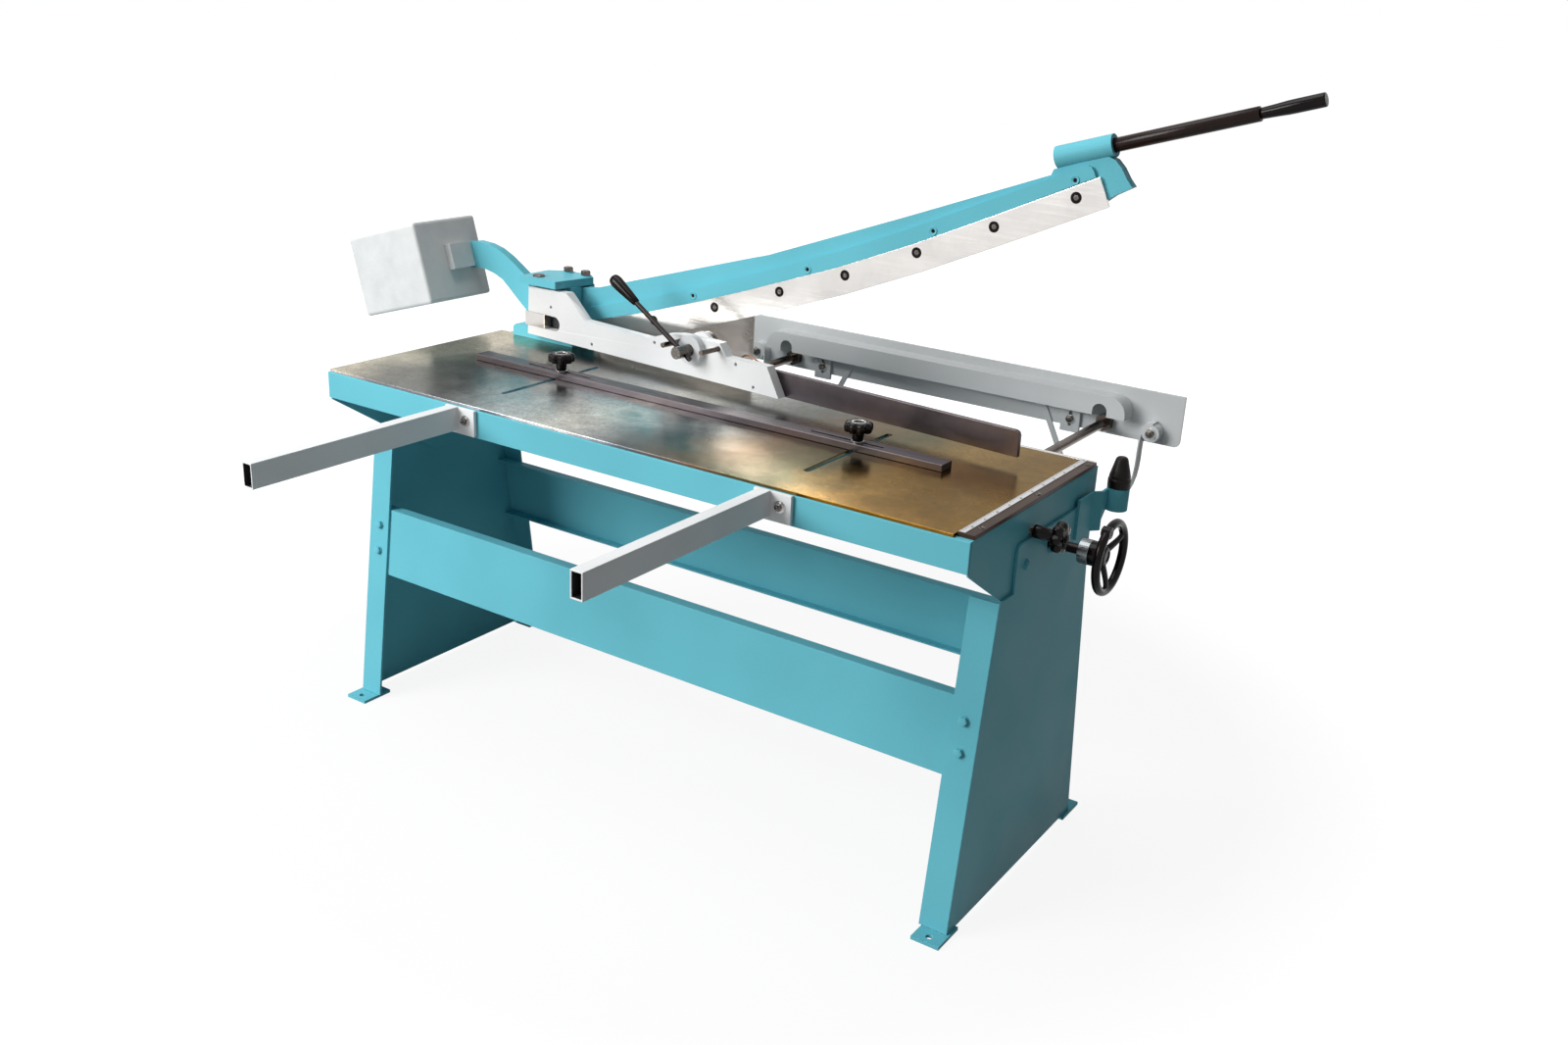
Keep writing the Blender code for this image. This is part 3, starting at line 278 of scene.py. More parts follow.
def rubbery(name):
    """Matt black rubber with a dusty bloom."""
    s = Surface(name)
    bloom = s.span(s.noise(90.0, 4.0), 0.40, 0.75)
    s.feed(s.shader.inputs["Base Color"], s.ramp(bloom, [(0.0, srgb("120d0c")), (1.0, srgb("1f1918"))]))
    s.feed(s.shader.inputs["Roughness"], s.span(bloom, 0.0, 1.0, 0.35, 0.62))
    s.feed(s.shader.inputs["Normal"], s.bump(s.noise(500.0, 2.0), 0.15, 0.0005))
    return s.constant(Specular_IOR_Level=0.12).material


def smoked_sheet(name):
    """Brown-grey clear plastic with smears, scratches and small pale spots painted in as reflection
    highlights.
    """
    s = Surface(name)
    smear = s.span(s.noise(16.0, 5.0, 0.6, (1.0, 1.0, 2.0)), 0.35, 0.72)
    tone = s.ramp(smear, [(0.0, srgb("a29d98")), (1.0, srgb("8b847d"))])
    # Pale spots: painted highlights standing for reflections on the sheet.
    painted_glints = s.span(s.cells(70.0), 0.035, 0.060)
    s.feed(s.shader.inputs["Base Color"], s.blend(painted_glints, srgb("efece8"), tone))
    s.feed(s.shader.inputs["Roughness"], s.span(smear, 0.0, 1.0, 0.10, 0.32))
    s.feed(s.shader.inputs["Normal"], s.bump(s.noise(35.0, 3.0), 0.12, 0.001))
    return s.constant(Transmission_Weight=0.82, IOR=1.25).material


def zinc_plate(name, light="d9d9d6", dark="8f8f90"):
    """Bright zinc plating on washers and nuts."""
    s = Surface(name)
    patch = s.span(s.noise(240.0, 4.0, 0.6), 0.30, 0.72)
    s.feed(s.shader.inputs["Base Color"], s.ramp(patch, [(0.0, srgb(dark)), (1.0, srgb(light))]))
    s.feed(s.shader.inputs["Roughness"], s.span(patch, 0.0, 1.0, 0.22, 0.38))
    s.feed(s.shader.inputs["Normal"], s.bump(s.noise(900.0, 2.0), 0.10, 0.0003))
    return s.constant(Metallic=1.0).material


def marking(name, code):
    """Printed or filled markings."""
    s = Surface(name)
    base = srgb(code)
    worn = s.span(s.noise(260.0, 3.0), 0.30, 0.70)
    s.feed(s.shader.inputs["Base Color"], s.ramp(worn, [(0.0, base), (1.0, scaled(base, 1.6))]))
    return s.constant(Roughness=0.6).material


TEAL = enamel("teal_enamel", "6bbecd", 0.34, 1.0, 0.03)
PALE_GREY = cast_enamel("pale_grey_enamel", "d3d5d5")
WHITE = enamel("white_enamel", "dedfdf", 0.40, 0.7, 0.12)
GAUGE_GREY = enamel("gauge_grey_enamel", "ced1d2", 0.42, 1.0, 0.10)
TUBE_GREY = enamel("tube_grey_enamel", "ebedee", 0.40, 0.8, 0.12)
TABLE = table_steel("polished_table_steel")
BLADE = ground_steel("ground_blade_steel", "d9d6d3", "cbc8c5", 90.0, 0.17, (0.12, 1.0, 4.0), 0.03)
BAR = ground_steel("dark_bar_steel", "4c4649", "403b3e", 60.0, 0.34, (0.3, 1.0, 1.0), 0.03)
EDGE_BAR = enamel("squaring_bar_finish", "44332b", 0.34, 0.5, 0.08)
ROD = ground_steel("rod_steel", "6f635c", "3b3430", 220.0, 0.20, (1.0, 0.1, 1.0))
TUBE = moulded("handle_tube_enamel", "1c100e", 0.22, 0.0, 0.14, 0.02)
BRIGHT = zinc_plate("zinc_plate", "cfcfcc", "a9a8a8")
COLLAR = zinc_plate("collar_steel", "84878a", "6b6e70")
NUT = zinc_plate("dark_nut_steel", "76706c", "3c3836")
BLACK = moulded("black_plastic", "0e0706", 0.08, 0.02, 0.12)
RUBBER = rubbery("rubber")
SMOKED = smoked_sheet("smoked_plastic")
WIRE = zinc_plate("spring_wire", "8a5f41", "5a3a28")
INK = marking("scale_ink", "1a1a1c")
STRIP = enamel("scale_strip_enamel", "dedede", 0.35, 0.4, 0.15)


# ---------------------------------------------------------------- mesh helpers

def frame_about(axis):
    """Two unit vectors square to an axis and to each other."""
    axis = Vector(axis).normalized()
    helper = Z_AXIS if abs(axis.z) < 0.9 else X_AXIS
    side = axis.cross(helper).normalized()
    return side, axis.cross(side)


def skin_rings(bm, rings):
    """Quads between neighbouring rings of vertices, with both ends capped."""
    faces = [bm.faces.new(rings[0]), bm.faces.new(rings[-1])]
    for near, far in zip(rings[:-1], rings[1:]):
        count = len(near)
        for i in range(count):
            j = (i + 1) % count
            faces.append(bm.faces.new((near[i], near[j], far[j], far[i])))
    bmesh.ops.recalc_face_normals(bm, faces=faces)


def add_stack(bm, start, axis, layers, shape, segments):
    """Solid whose section at (distance, size) is shape(turn) times size, square to the axis."""
    axis = Vector(axis).normalized()
    side, other = frame_about(axis)
    rings = []
    for along, size in layers:
        ring = []
        for i in range(segments):
            turn = 2 * math.pi * i / segments
            reach = size * shape(turn)
            spoke = side * math.cos(turn) + other * math.sin(turn)
            ring.append(bm.verts.new(Vector(start) + axis * along + spoke * reach))
        rings.append(ring)
    skin_rings(bm, rings)


def add_turned(bm, start, axis, profile, segments=40):
    """Solid of revolution through (distance, radius) points."""
    add_stack(bm, start, axis, profile, lambda turn: 1.0, segments)


def rounded_profile(points, radius, steps=4):
    """Round every inner corner of a profile by a circular-looking blend."""
    result = [points[0]]
    for before, here, after in zip(points[:-2], points[1:-1], points[2:]):
        a = Vector(before) - Vector(here)
        b = Vector(after) - Vector(here)
        reach = min(radius, a.length * 0.45, b.length * 0.45)
        first = Vector(here) + a.normalized() * reach
        last = Vector(here) + b.normalized() * reach
        for i in range(steps + 1):
            t = i / steps
            point = first * (1 - t) ** 2 + Vector(here) * 2 * t * (1 - t) + last * t ** 2
            result.append((point.x, point.y))
    result.append(points[-1])
    return result


def add_washer(bm, place, axis, outer, thickness):
    """Flat washer, seen as a disc, with its edges broken."""
    edge = min(0.0004, thickness * 0.3)
    profile = [(0.0, outer - edge), (edge, outer), (thickness - edge, outer), (thickness, outer - edge)]
    add_turned(bm, place, axis, profile, 32)


def hexagon(turn):
    """Radius of a unit hexagon (corner radius 1) at an angle."""
    sector = math.pi / 3
    return math.cos(sector / 2) / math.cos((turn % sector) - sector / 2)


def add_hex_head(bm, place, axis, across, height):
    """Hexagon head with the turned chamfer on its outer face."""
    corner = across / 2 / math.cos(math.pi / 6)
    layers = [(0.0, corner), (height * 0.80, corner), (height * 0.93, corner * 0.95), (height, corner * 0.84)]
    add_stack(bm, place, axis, layers, hexagon, 36)


def add_bolt(washers, heads, seat, axis, washer, head):
    """Washer of (radius, thickness) on a seat, with a hexagon head of (width, height) on top of it."""
    add_washer(washers, seat, axis, *washer)
    add_hex_head(heads, Vector(seat) + Vector(axis) * washer[1], axis, *head)


def add_socket_screw(bm_head, bm_core, place, axis, radius, relief=1.0):
    """Countersunk socket screw: dished ring with a raised rim, and the key's hexagon inside it."""
    ring = [(0.0, 1.0), (0.0012, 1.0), (0.0016, 0.90), (0.0010, 0.66), (0.0006, 0.60)]
    add_turned(bm_head, place, axis, [(along * relief, radius * size) for along, size in ring], 32)
    key = [(0.0004, 0.50), (0.0010, 0.50), (0.0013, 0.44)]
    add_stack(bm_core, place, axis, [(along * relief, radius * size) for along, size in key], hexagon, 24)


def lobes(count, depth):
    """Outline of a lobed knob: unit radius on the lobes, dipping between them."""
    def shape(turn):
        return 1.0 - depth * (0.5 - 0.5 * math.cos(count * turn)) ** 1.6
    return shape


def add_tube_path(bm, points, radius, segments=12):
    """Round bead along a path of points."""
    rings = []
    for i, point in enumerate(points):
        before = points[max(i - 1, 0)]
        after = points[min(i + 1, len(points) - 1)]
        side, other = frame_about(after - before)
        ring = []
        for k in range(segments):
            turn = 2 * math.pi * k / segments
            ring.append(bm.verts.new(point + (side * math.cos(turn) + other * math.sin(turn)) * radius))
        rings.append(ring)
    skin_rings(bm, rings)


def piece(name, bm, material, body, smooth=38.0):
    """Make a visible piece from a bmesh in frame coordinates, riding on a body."""
    mesh = bpy.data.meshes.new(name)
    bm.to_mesh(mesh)
    bm.free()
    mesh.materials.append(material)
    mesh.shade_smooth()
    mesh.set_sharp_from_angle(angle=math.radians(smooth))
    obj = bpy.data.objects.new(name, mesh)
    bpy.context.scene.collection.objects.link(obj)
    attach(obj, body)
    return obj


# ---------------------------------------------------------------- finishes on the CAD nodes

FINISHES = {
    "left_leg": TEAL, "right_leg": TEAL, "front_stretcher": TEAL, "rear_stretcher": TEAL,
    "left_front_foot": TEAL, "left_rear_foot": TEAL, "right_front_foot": TEAL, "right_rear_foot": TEAL,
    "table_frame": TEAL, "table_front_rail": TEAL, "table_rear_beam": TEAL,
    "pivot_pedestal": TEAL, "pivot_rear_cheek": TEAL, "pivot_cap_plate": TEAL,
    "knife_arm": TEAL, "knife_clamp_strip": TEAL, "counterweight_neck": TEAL, "bumper_bracket": TEAL,
    "counterweight": PALE_GREY, "counterweight_bracket": PALE_GREY,
    "left_support_arm": TUBE_GREY, "right_support_arm": TUBE_GREY,
    "hold_down_plate": WHITE, "rule_strip": STRIP,
    "rear_gauge_plate": GAUGE_GREY, "gauge_cover": GAUGE_GREY,
    "left_slotted_bracket": GAUGE_GREY, "right_slotted_bracket": GAUGE_GREY,
    "left_gauge_brace": GAUGE_GREY, "right_gauge_brace": GAUGE_GREY,
    "left_strap": GAUGE_GREY, "right_strap": GAUGE_GREY,
    "table_plate": TABLE, "lower_knife": BLADE, "upper_knife": BLADE, "slide_block": BLADE,
    "squaring_bar": EDGE_BAR, "front_gauge_bar": BAR, "presser_bar": BAR,
    "left_gauge_rod": ROD, "right_gauge_rod": ROD, "cross_shaft": TUBE, "pivot_pin": ROD,
    "lever_rod": TUBE, "left_stop_pin": ROD, "right_stop_pin": ROD,
    "lever_shaft": NUT,
    "left_rack_housing": NUT, "right_rack_housing": NUT,
    "lever_disc": GAUGE_GREY, "wheel_collar": COLLAR,
    "handle_tube": TUBE, "handle_grip": BLACK, "lever_grip": BLACK, "handwheel": BLACK,
    "left_gauge_knob": BLACK, "right_gauge_knob": BLACK, "lock_knob": BLACK,
    "rubber_buffer": RUBBER, "rear_guard": SMOKED,
}

# Edge radius of each node where it isn't the usual one. 0 leaves a node's mesh as it is.
EDGE_ROUND = {
    "counterweight": 0.0, "gauge_cover": 0.0060, "table_frame": 0.0014, "table_front_rail": 0.0016,
    "left_leg": 0.0022, "right_leg": 0.0022,
    "front_stretcher": 0.0016, "rear_stretcher": 0.0016, "rear_gauge_plate": 0.0010,
    "knife_arm": 0.0014, "counterweight_neck": 0.0016, "knife_clamp_strip": 0.0026,
    "pivot_cap_plate": 0.0018, "pivot_pedestal": 0.0014, "pivot_rear_cheek": 0.0014,
    "upper_knife": 0.0005, "lower_knife": 0.0005, "table_plate": 0.0005, "rule_strip": 0.0002,
    "hold_down_plate": 0.0007, "presser_bar": 0.0012, "front_gauge_bar": 0.0010,
    "left_support_arm": 0.0014, "right_support_arm": 0.0014, "rear_guard": 0.0003,
    "handwheel": 0.0, "lever_grip": 0.0, "handle_grip": 0.0, "rubber_buffer": 0.0,
}
USUAL_EDGE_ROUND = 0.0008
LARGE_EDGE_ROUND = 0.003
SHARP_ANGLE = math.radians(32)
WELD_REACH = 0.00002


def finish_nodes():
    """Give every CAD node its material and softly rounded edges."""
    for name, node in frame["nodes"].items():
        for material_slot in node.material_slots:
            material_slot.material = FINISHES[name]
        width = EDGE_ROUND.get(name, USUAL_EDGE_ROUND)
        if width == 0.0:
            continue
        weld = node.modifiers.new("weld", "WELD")
        weld.merge_threshold = WELD_REACH
        rounding = node.modifiers.new("rounding", "BEVEL")
        rounding.width = width
        rounding.segments = 3 if width > LARGE_EDGE_ROUND else 2
        rounding.limit_method = "ANGLE"
        rounding.angle_limit = SHARP_ANGLE
        rounding.use_clamp_overlap = True


# ---------------------------------------------------------------- hand parts

KNOB_FOOT_Z = 0.8655


def build_gauge_knobs():
    """Lobed clamping knobs, each with a plated stud ring and washer, on top of the front gauge bar."""
    for side in ("left", "right"):
        node = f"{side}_gauge_knob"
        low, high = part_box(node)
        centre = (low + high) / 2
        foot = Vector((centre.x, centre.y, KNOB_FOOT_Z))
        head = bmesh.new()
        neck = [(0.0025, 0.0110), (0.0040, 0.0118), (0.0200, 0.0125), (0.0215, 0.0160)]
        add_turned(head, foot, Z_AXIS, neck, 36)
        layers = [(0.0205, 0.0235), (0.0215, 0.0275), (0.0240, 0.0300), (0.0300, 0.0305), (0.0370, 0.0300),
                  (0.0400, 0.0280), (0.0416, 0.0245), (0.0420, 0.0170), (0.0412, 0.0158)]
        add_stack(head, foot, Z_AXIS, layers, lobes(8, 0.16), 128)
        knob = piece(f"{side}_knob_head", head, BLACK, f"{side}_knob", 50.0)
        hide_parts(node)
        metal = bmesh.new()
        add_washer(metal, foot, Z_AXIS, 0.0135, 0.0022)
        ring = [(0.0408, 0.0150), (0.0419, 0.0150), (0.0423, 0.0138), (0.0419, 0.0118), (0.0409, 0.0112)]
        add_turned(metal, foot, Z_AXIS, ring, 40)
        stud = [(-0.0375, 0.0110), (-0.0280, 0.0110), (-0.0279, 0.0040), (0.0, 0.0040)]
        add_turned(metal, foot, Z_AXIS, stud, 24)
        piece(f"{side}_knob_stud", metal, BRIGHT, f"{side}_knob")


STUD_CREST = 0.0080
STUD_ROOT = 0.0073
STUD_PITCH = 0.0015
STUD_TURNS = 22
STUD_PLAIN = 0.0010
STUD_LENGTH = 0.0350


def build_lock_knob():
    """Lobed knob that locks the rear gauge, on its threaded stud."""
    low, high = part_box("lock_knob")
    centre = Vector((low.x, (low.y + high.y) / 2, (low.z + high.z) / 2))
    body = bmesh.new()
    core = [(0.0343, 0.0120), (0.0350, 0.0130), (0.0580, 0.0130), (0.0594, 0.0117), (0.0770, 0.0117)]
    add_turned(body, centre, X_AXIS, core, 40)
    layers = [(0.0756, 0.0200), (0.0768, 0.0270), (0.0790, 0.0298), (0.0850, 0.0304), (0.0920, 0.0300),
              (0.0955, 0.0278), (0.0970, 0.0220)]
    add_stack(body, centre, X_AXIS, layers, lobes(7, 0.20), 126)
    boss = rounded_profile([(0.0965, 0.0100), (0.0970, 0.0095), (0.0978, 0.0090), (0.0979, 0.0060)], 0.0004)
    add_turned(body, centre, X_AXIS, boss, 28)
    knob = piece("lock_knob_head", body, BLACK, "lock_knob", 50.0)
    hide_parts("lock_knob")
    stud = bmesh.new()
    thread = [(0.0, STUD_CREST)]
    for i in range(STUD_TURNS):
        start = STUD_PLAIN + i * STUD_PITCH
        thread += [(start, STUD_CREST), (start + STUD_PITCH * 0.5, STUD_ROOT)]
    thread += [(STUD_LENGTH, STUD_CREST)]
    add_turned(stud, centre, X_AXIS, thread, 24)
    piece("lock_knob_stud", stud, NUT, "lock_knob", 60.0)


RIM_HALF = 0.0085
RIM_STEPS = 96
RIM_SECTION = 20
SPOKE_TURNS = (30, 150, 270)
SPOKE_STEPS = 8
SPOKE_SECTION = 16
SPOKE_START = 0.010
SPOKE_DISH = 0.016
RIM_BOSS_TURN = math.radians(118)
SET_SCREW_TURN = math.radians(12)


def add_rim(wheel, middle, radius):
    """Round-section ring square to X, with its section's middle at a radius."""
    rings = []
    for i in range(RIM_STEPS):
        turn = 2 * math.pi * i / RIM_STEPS
        out = Vector((0, math.cos(turn), math.sin(turn)))
        ring = []
        for k in range(RIM_SECTION):
            roll = 2 * math.pi * k / RIM_SECTION
            reach = radius + RIM_HALF * math.cos(roll)
            ring.append(wheel.verts.new(middle + out * reach + X_AXIS * RIM_HALF * math.sin(roll)))
        rings.append(ring)
    for i in range(RIM_STEPS):
        a = rings[i]
        b = rings[(i + 1) % RIM_STEPS]
        for k in range(RIM_SECTION):
            m = (k + 1) % RIM_SECTION
            wheel.faces.new((a[k], a[m], b[m], b[k]))
    bmesh.ops.recalc_face_normals(wheel, faces=wheel.faces)


def add_spoke(wheel, middle, turn, end):
    """Oval spoke from the hub to the rim, dished towards the machine at the hub."""
    out = Vector((0, math.cos(turn), math.sin(turn)))
    across = X_AXIS.cross(out)
    rings = []
    for i in range(SPOKE_STEPS + 1):
        t = i / SPOKE_STEPS
        reach = SPOKE_START + (end - SPOKE_START) * t
        swell = 0.0095 - 0.0035 * t + 0.0035 * max(0.0, t - 0.8) / 0.2
        depth = 0.0060 - 0.0015 * t
        heart = middle - X_AXIS * SPOKE_DISH * (1 - t) ** 1.4 + out * reach
        ring = []
        for k in range(SPOKE_SECTION):
            roll = 2 * math.pi * k / SPOKE_SECTION
            offset = across * swell * math.cos(roll) + X_AXIS * depth * math.sin(roll)
            ring.append(wheel.verts.new(heart + offset))
        rings.append(ring)
    skin_rings(wheel, rings)


def build_handwheel():
    """Three-spoke handwheel with a round rim, a stepped hub, a boss for a crank and the collar's screw."""
    joint = JOINTS["handwheel_turn"]
    low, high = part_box("handwheel")
    centre = Vector((low.x, joint["pos_m"][1], joint["pos_m"][2]))
    rim_radius = (high.z - low.z) / 2 - RIM_HALF
    rim_middle = Vector((high.x - RIM_HALF, centre.y, centre.z))
    wheel = bmesh.new()
    add_rim(wheel, rim_middle, rim_radius)
    for turn in SPOKE_TURNS:
        add_spoke(wheel, rim_middle, math.radians(turn), rim_radius - RIM_HALF * 0.6)
    hub = rounded_profile([(0.0002, 0.0240), (0.0006, 0.0245), (0.0145, 0.0245), (0.0220, 0.0205),
                           (0.0300, 0.0185), (0.0317, 0.0150), (0.0317, 0.0104), (0.0300, 0.0102)], 0.0016)
    add_turned(wheel, centre, X_AXIS, hub, 48)
    obj = piece("handwheel_casting", wheel, BLACK, "handwheel", 45.0)
    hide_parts("handwheel")

    boss = bmesh.new()
    out = Vector((0, math.cos(RIM_BOSS_TURN), math.sin(RIM_BOSS_TURN)))
    eye = [(-0.0100, 0.0095), (-0.0088, 0.0115), (0.0070, 0.0115), (0.0082, 0.0104), (0.0083, 0.0050),
           (0.0040, 0.0044)]
    add_turned(boss, rim_middle + out * rim_radius, X_AXIS, eye, 32)
    piece("handwheel_rim_boss", boss, BLACK, "handwheel")

    screw = bmesh.new()
    ring_low, ring_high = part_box("wheel_collar")
    out = Vector((0.0, -math.cos(SET_SCREW_TURN), math.sin(SET_SCREW_TURN)))
    axis_point = Vector(((ring_low.x + ring_high.x) / 2, centre.y, centre.z))
    mouth = axis_point + out * ((ring_high.z - ring_low.z) / 2 - 0.0008)
    add_turned(screw, mouth, out, [(0.0, 0.0022), (0.0006, 0.0022), (0.0007, 0.0010)], 20)
    piece("collar_set_screw", screw, INK, "handwheel")


HANDLE_RADIUS = 0.0139
HANDLE_EDGE = 0.0008
HANDLE_TILT = math.radians(17.0)


def build_handle():
    """Smooth handle tube, its tapered grip and the grip's pale end plug."""
    low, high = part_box("handle_tube")
    along = Vector((math.cos(HANDLE_TILT), 0, math.sin(HANDLE_TILT)))
    length = (high.x - low.x - 2 * HANDLE_RADIUS * math.sin(HANDLE_TILT)) / math.cos(HANDLE_TILT)
    start = (low + high) / 2 - along * length / 2
    tip = start + along * length
    grip = bmesh.new()
    profile = [(0.0005, 0.0095), (0.0012, 0.0104), (0.0060, 0.0106), (0.0300, 0.0116), (0.0500, 0.0128),
               (0.0620, 0.0130), (0.1120, 0.0130), (0.1144, 0.0126), (0.1152, 0.0116)]
    add_turned(grip, tip, along, profile, 48)
    obj = piece("handle_grip_moulding", grip, BLACK, "knife_arm", 60.0)
    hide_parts("handle_grip")
    plug = bmesh.new()
    add_turned(plug, tip + along * 0.1142, along, [(0.0, 0.0112), (0.0012, 0.0112), (0.0016, 0.0104)], 40)
    piece("handle_end_plug", plug, GAUGE_GREY, "knife_arm")
    tube = bmesh.new()
    profile = [(0.0, HANDLE_RADIUS - HANDLE_EDGE), (HANDLE_EDGE, HANDLE_RADIUS),
               (length - HANDLE_EDGE, HANDLE_RADIUS), (length, HANDLE_RADIUS - HANDLE_EDGE)]
    add_turned(tube, start, along, profile, 64)
    obj = piece("handle_tube_skin", tube, TUBE, "knife_arm", 60.0)
    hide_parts("handle_tube")


LEVER_TURN = math.radians(149.0)
LEVER_STAND_OFF = 0.040


def build_lever():
    """Tapered lever grip, in front of the lever's joint by the rod's stand-off."""
    joint = JOINTS["clamp_lever"]
    depth = Vector(joint["axis"])
    across = Vector((depth.y, -depth.x, 0))
    along = (across * math.cos(LEVER_TURN) + Z_AXIS * math.sin(LEVER_TURN)).normalized()
    middle = Vector(joint["pos_m"]) - depth * LEVER_STAND_OFF
    grip = bmesh.new()
    profile = [(0.1700, 0.0074), (0.1706, 0.0084), (0.1780, 0.0098), (0.2000, 0.0118), (0.2250, 0.0138),
               (0.2420, 0.0149), (0.2510, 0.0142), (0.2570, 0.0118), (0.2596, 0.0080), (0.2600, 0.0040)]
    add_turned(grip, middle, along, profile, 40)
    obj = piece("lever_grip_moulding", grip, BLACK, "clamp_lever", 60.0)
    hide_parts("lever_grip")


def build_buffer():
    """Moulded rubber buffer: base ring, groove and tapered nose."""
    low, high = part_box("rubber_buffer")
    foot = Vector(((low.x + high.x) / 2, (low.y + high.y) / 2, low.z))
    cone = bmesh.new()
    profile = [(0.0, 0.0215), (0.0010, 0.0228), (0.0030, 0.0235), (0.0170, 0.0235), (0.0190, 0.0228),
               (0.0200, 0.0212), (0.0212, 0.0212), (0.0225, 0.0222), (0.0260, 0.0216), (0.0400, 0.0180),
               (0.0520, 0.0147), (0.0580, 0.0132), (0.0620, 0.0115), (0.0642, 0.0088), (0.0649, 0.0050)]
    add_turned(cone, foot, Z_AXIS, profile, 56)
    obj = piece("rubber_buffer_moulding", cone, RUBBER, "frame", 60.0)
    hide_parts("rubber_buffer")


# ---------------------------------------------------------------- fasteners

TAB_BOLT_Z = 0.731
TAB_BOLT_Y = (-0.335, -0.223, -0.100)
STRETCHER_BOLT_X = 0.7985
FRONT_BOLT_Z = (0.4444, 0.3801)
REAR_BOLT_Z = (0.459, 0.399)
LEG_FRONT_SLOPE = 0.1232
LEG_REAR_SLOPE = -0.1368

# Washers are (radius, thickness) and heads are (width across flats, height).
STAND_WASHER = (0.0110, 0.0015)
TAB_HEAD = (0.0150, 0.0042)
STRETCHER_HEAD = (0.0165, 0.0065)
ARM_WASHER = (0.0125, 0.0016)
ARM_SMALL_WASHER = (0.0092, 0.0018)
ARM_NUT = (0.0130, 0.0060)
CAP_WASHER = (0.0145, 0.0020)
CAP_HEAD = (0.0210, 0.0120)
SLOT_WASHER = (0.0110, 0.0016)
SLOT_HEAD = (0.0165, 0.0070)
STRAP_WASHER = (0.0135, 0.0018)
STRAP_NUT = (0.0170, 0.0080)

# Screws as (distance right of HOME, height above the table).
KNIFE_SCREWS = [(-0.331, 0.103), (-0.152, 0.163), (0.027, 0.227), (0.196, 0.289), (0.368, 0.362),
                (0.540, 0.438), (0.709, 0.516)]
STRIP_SCREWS = [(-0.215, 0.181), (0.099, 0.288), (0.403, 0.412), (0.703, 0.549)]
KNIFE_SCREW_RADIUS = 0.0116
BLADE_SCREW_RELIEF = 0.2
SQUARING_SCREWS_Y = (-0.514, -0.276, -0.038)
SQUARING_SCREW_RADIUS = 0.0062


def build_leg_bolts():
    """Hexagon bolts through the table tabs, the leg flanges and the stretchers."""
    bolts = bmesh.new()
    for side, sign in (("left", -1), ("right", 1)):
        low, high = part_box(f"{side}_leg")
        outside = high.x if sign > 0 else low.x
        for y in TAB_BOLT_Y:
            seat = (outside, HOME.y + y, TAB_BOLT_Z)
            add_bolt(bolts, bolts, seat, X_AXIS * sign, STAND_WASHER, TAB_HEAD)
        flanges = ((low.y, LEG_FRONT_SLOPE, -1, FRONT_BOLT_Z), (high.y, LEG_REAR_SLOPE, 1, REAR_BOLT_Z))
        for edge, slope, facing, heights in flanges:
            out = Vector((0, facing, -facing * slope)).normalized()
            for z in heights:
                seat = (HOME.x + sign * STRETCHER_BOLT_X, edge + slope * (z - low.z), z)
                add_bolt(bolts, bolts, seat, out, STAND_WASHER, STRETCHER_HEAD)
    piece("stand_bolts", bolts, TEAL, "frame")


def build_knife_screws():
    """Socket screws along the upper knife and its clamping strip."""
    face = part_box("upper_knife")[0].y
    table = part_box("table_plate")[1].z
    heads = bmesh.new()
    keys = bmesh.new()
    for x, height in KNIFE_SCREWS:
        place = (HOME.x + x, face, table + height)
        add_socket_screw(heads, keys, place, -Y_AXIS, KNIFE_SCREW_RADIUS, BLADE_SCREW_RELIEF)
    rings = bmesh.new()
    rim = [(0.0, 0.0092), (0.0014, 0.0092), (0.0018, 0.0082), (0.0006, 0.0054)]
    key = [(0.0002, 0.0046), (0.0009, 0.0046), (0.0010, 0.0036)]
    for x, height in STRIP_SCREWS:
        place = Vector((HOME.x + x, face, table + height))
        add_turned(rings, place, -Y_AXIS, rim, 32)
        add_stack(heads, place, -Y_AXIS, key, hexagon, 24)
    piece("knife_screw_heads", heads, BLACK, "knife_arm")
    piece("knife_screw_keys", keys, NUT, "knife_arm")
    piece("strip_screw_rings", rings, TEAL, "knife_arm")


TICK_PITCH = 0.005
TICK_MARGIN = 0.002
TICK_THICKNESS = 0.0002
NUMBER_SIZE = 0.0062
NUMBER_SHIFT = 0.0055
NUMBER_INSET = 0.0032
NUMBER_THICKNESS = 0.0001


def tick_shape(index):
    """Length (as a share of the rule's width) and half thickness of a tick."""
    if index % 10 == 0:
        return 0.62, 0.0005
    if index % 2 == 0:
        return 0.42, 0.0005
    return 0.26, 0.00035


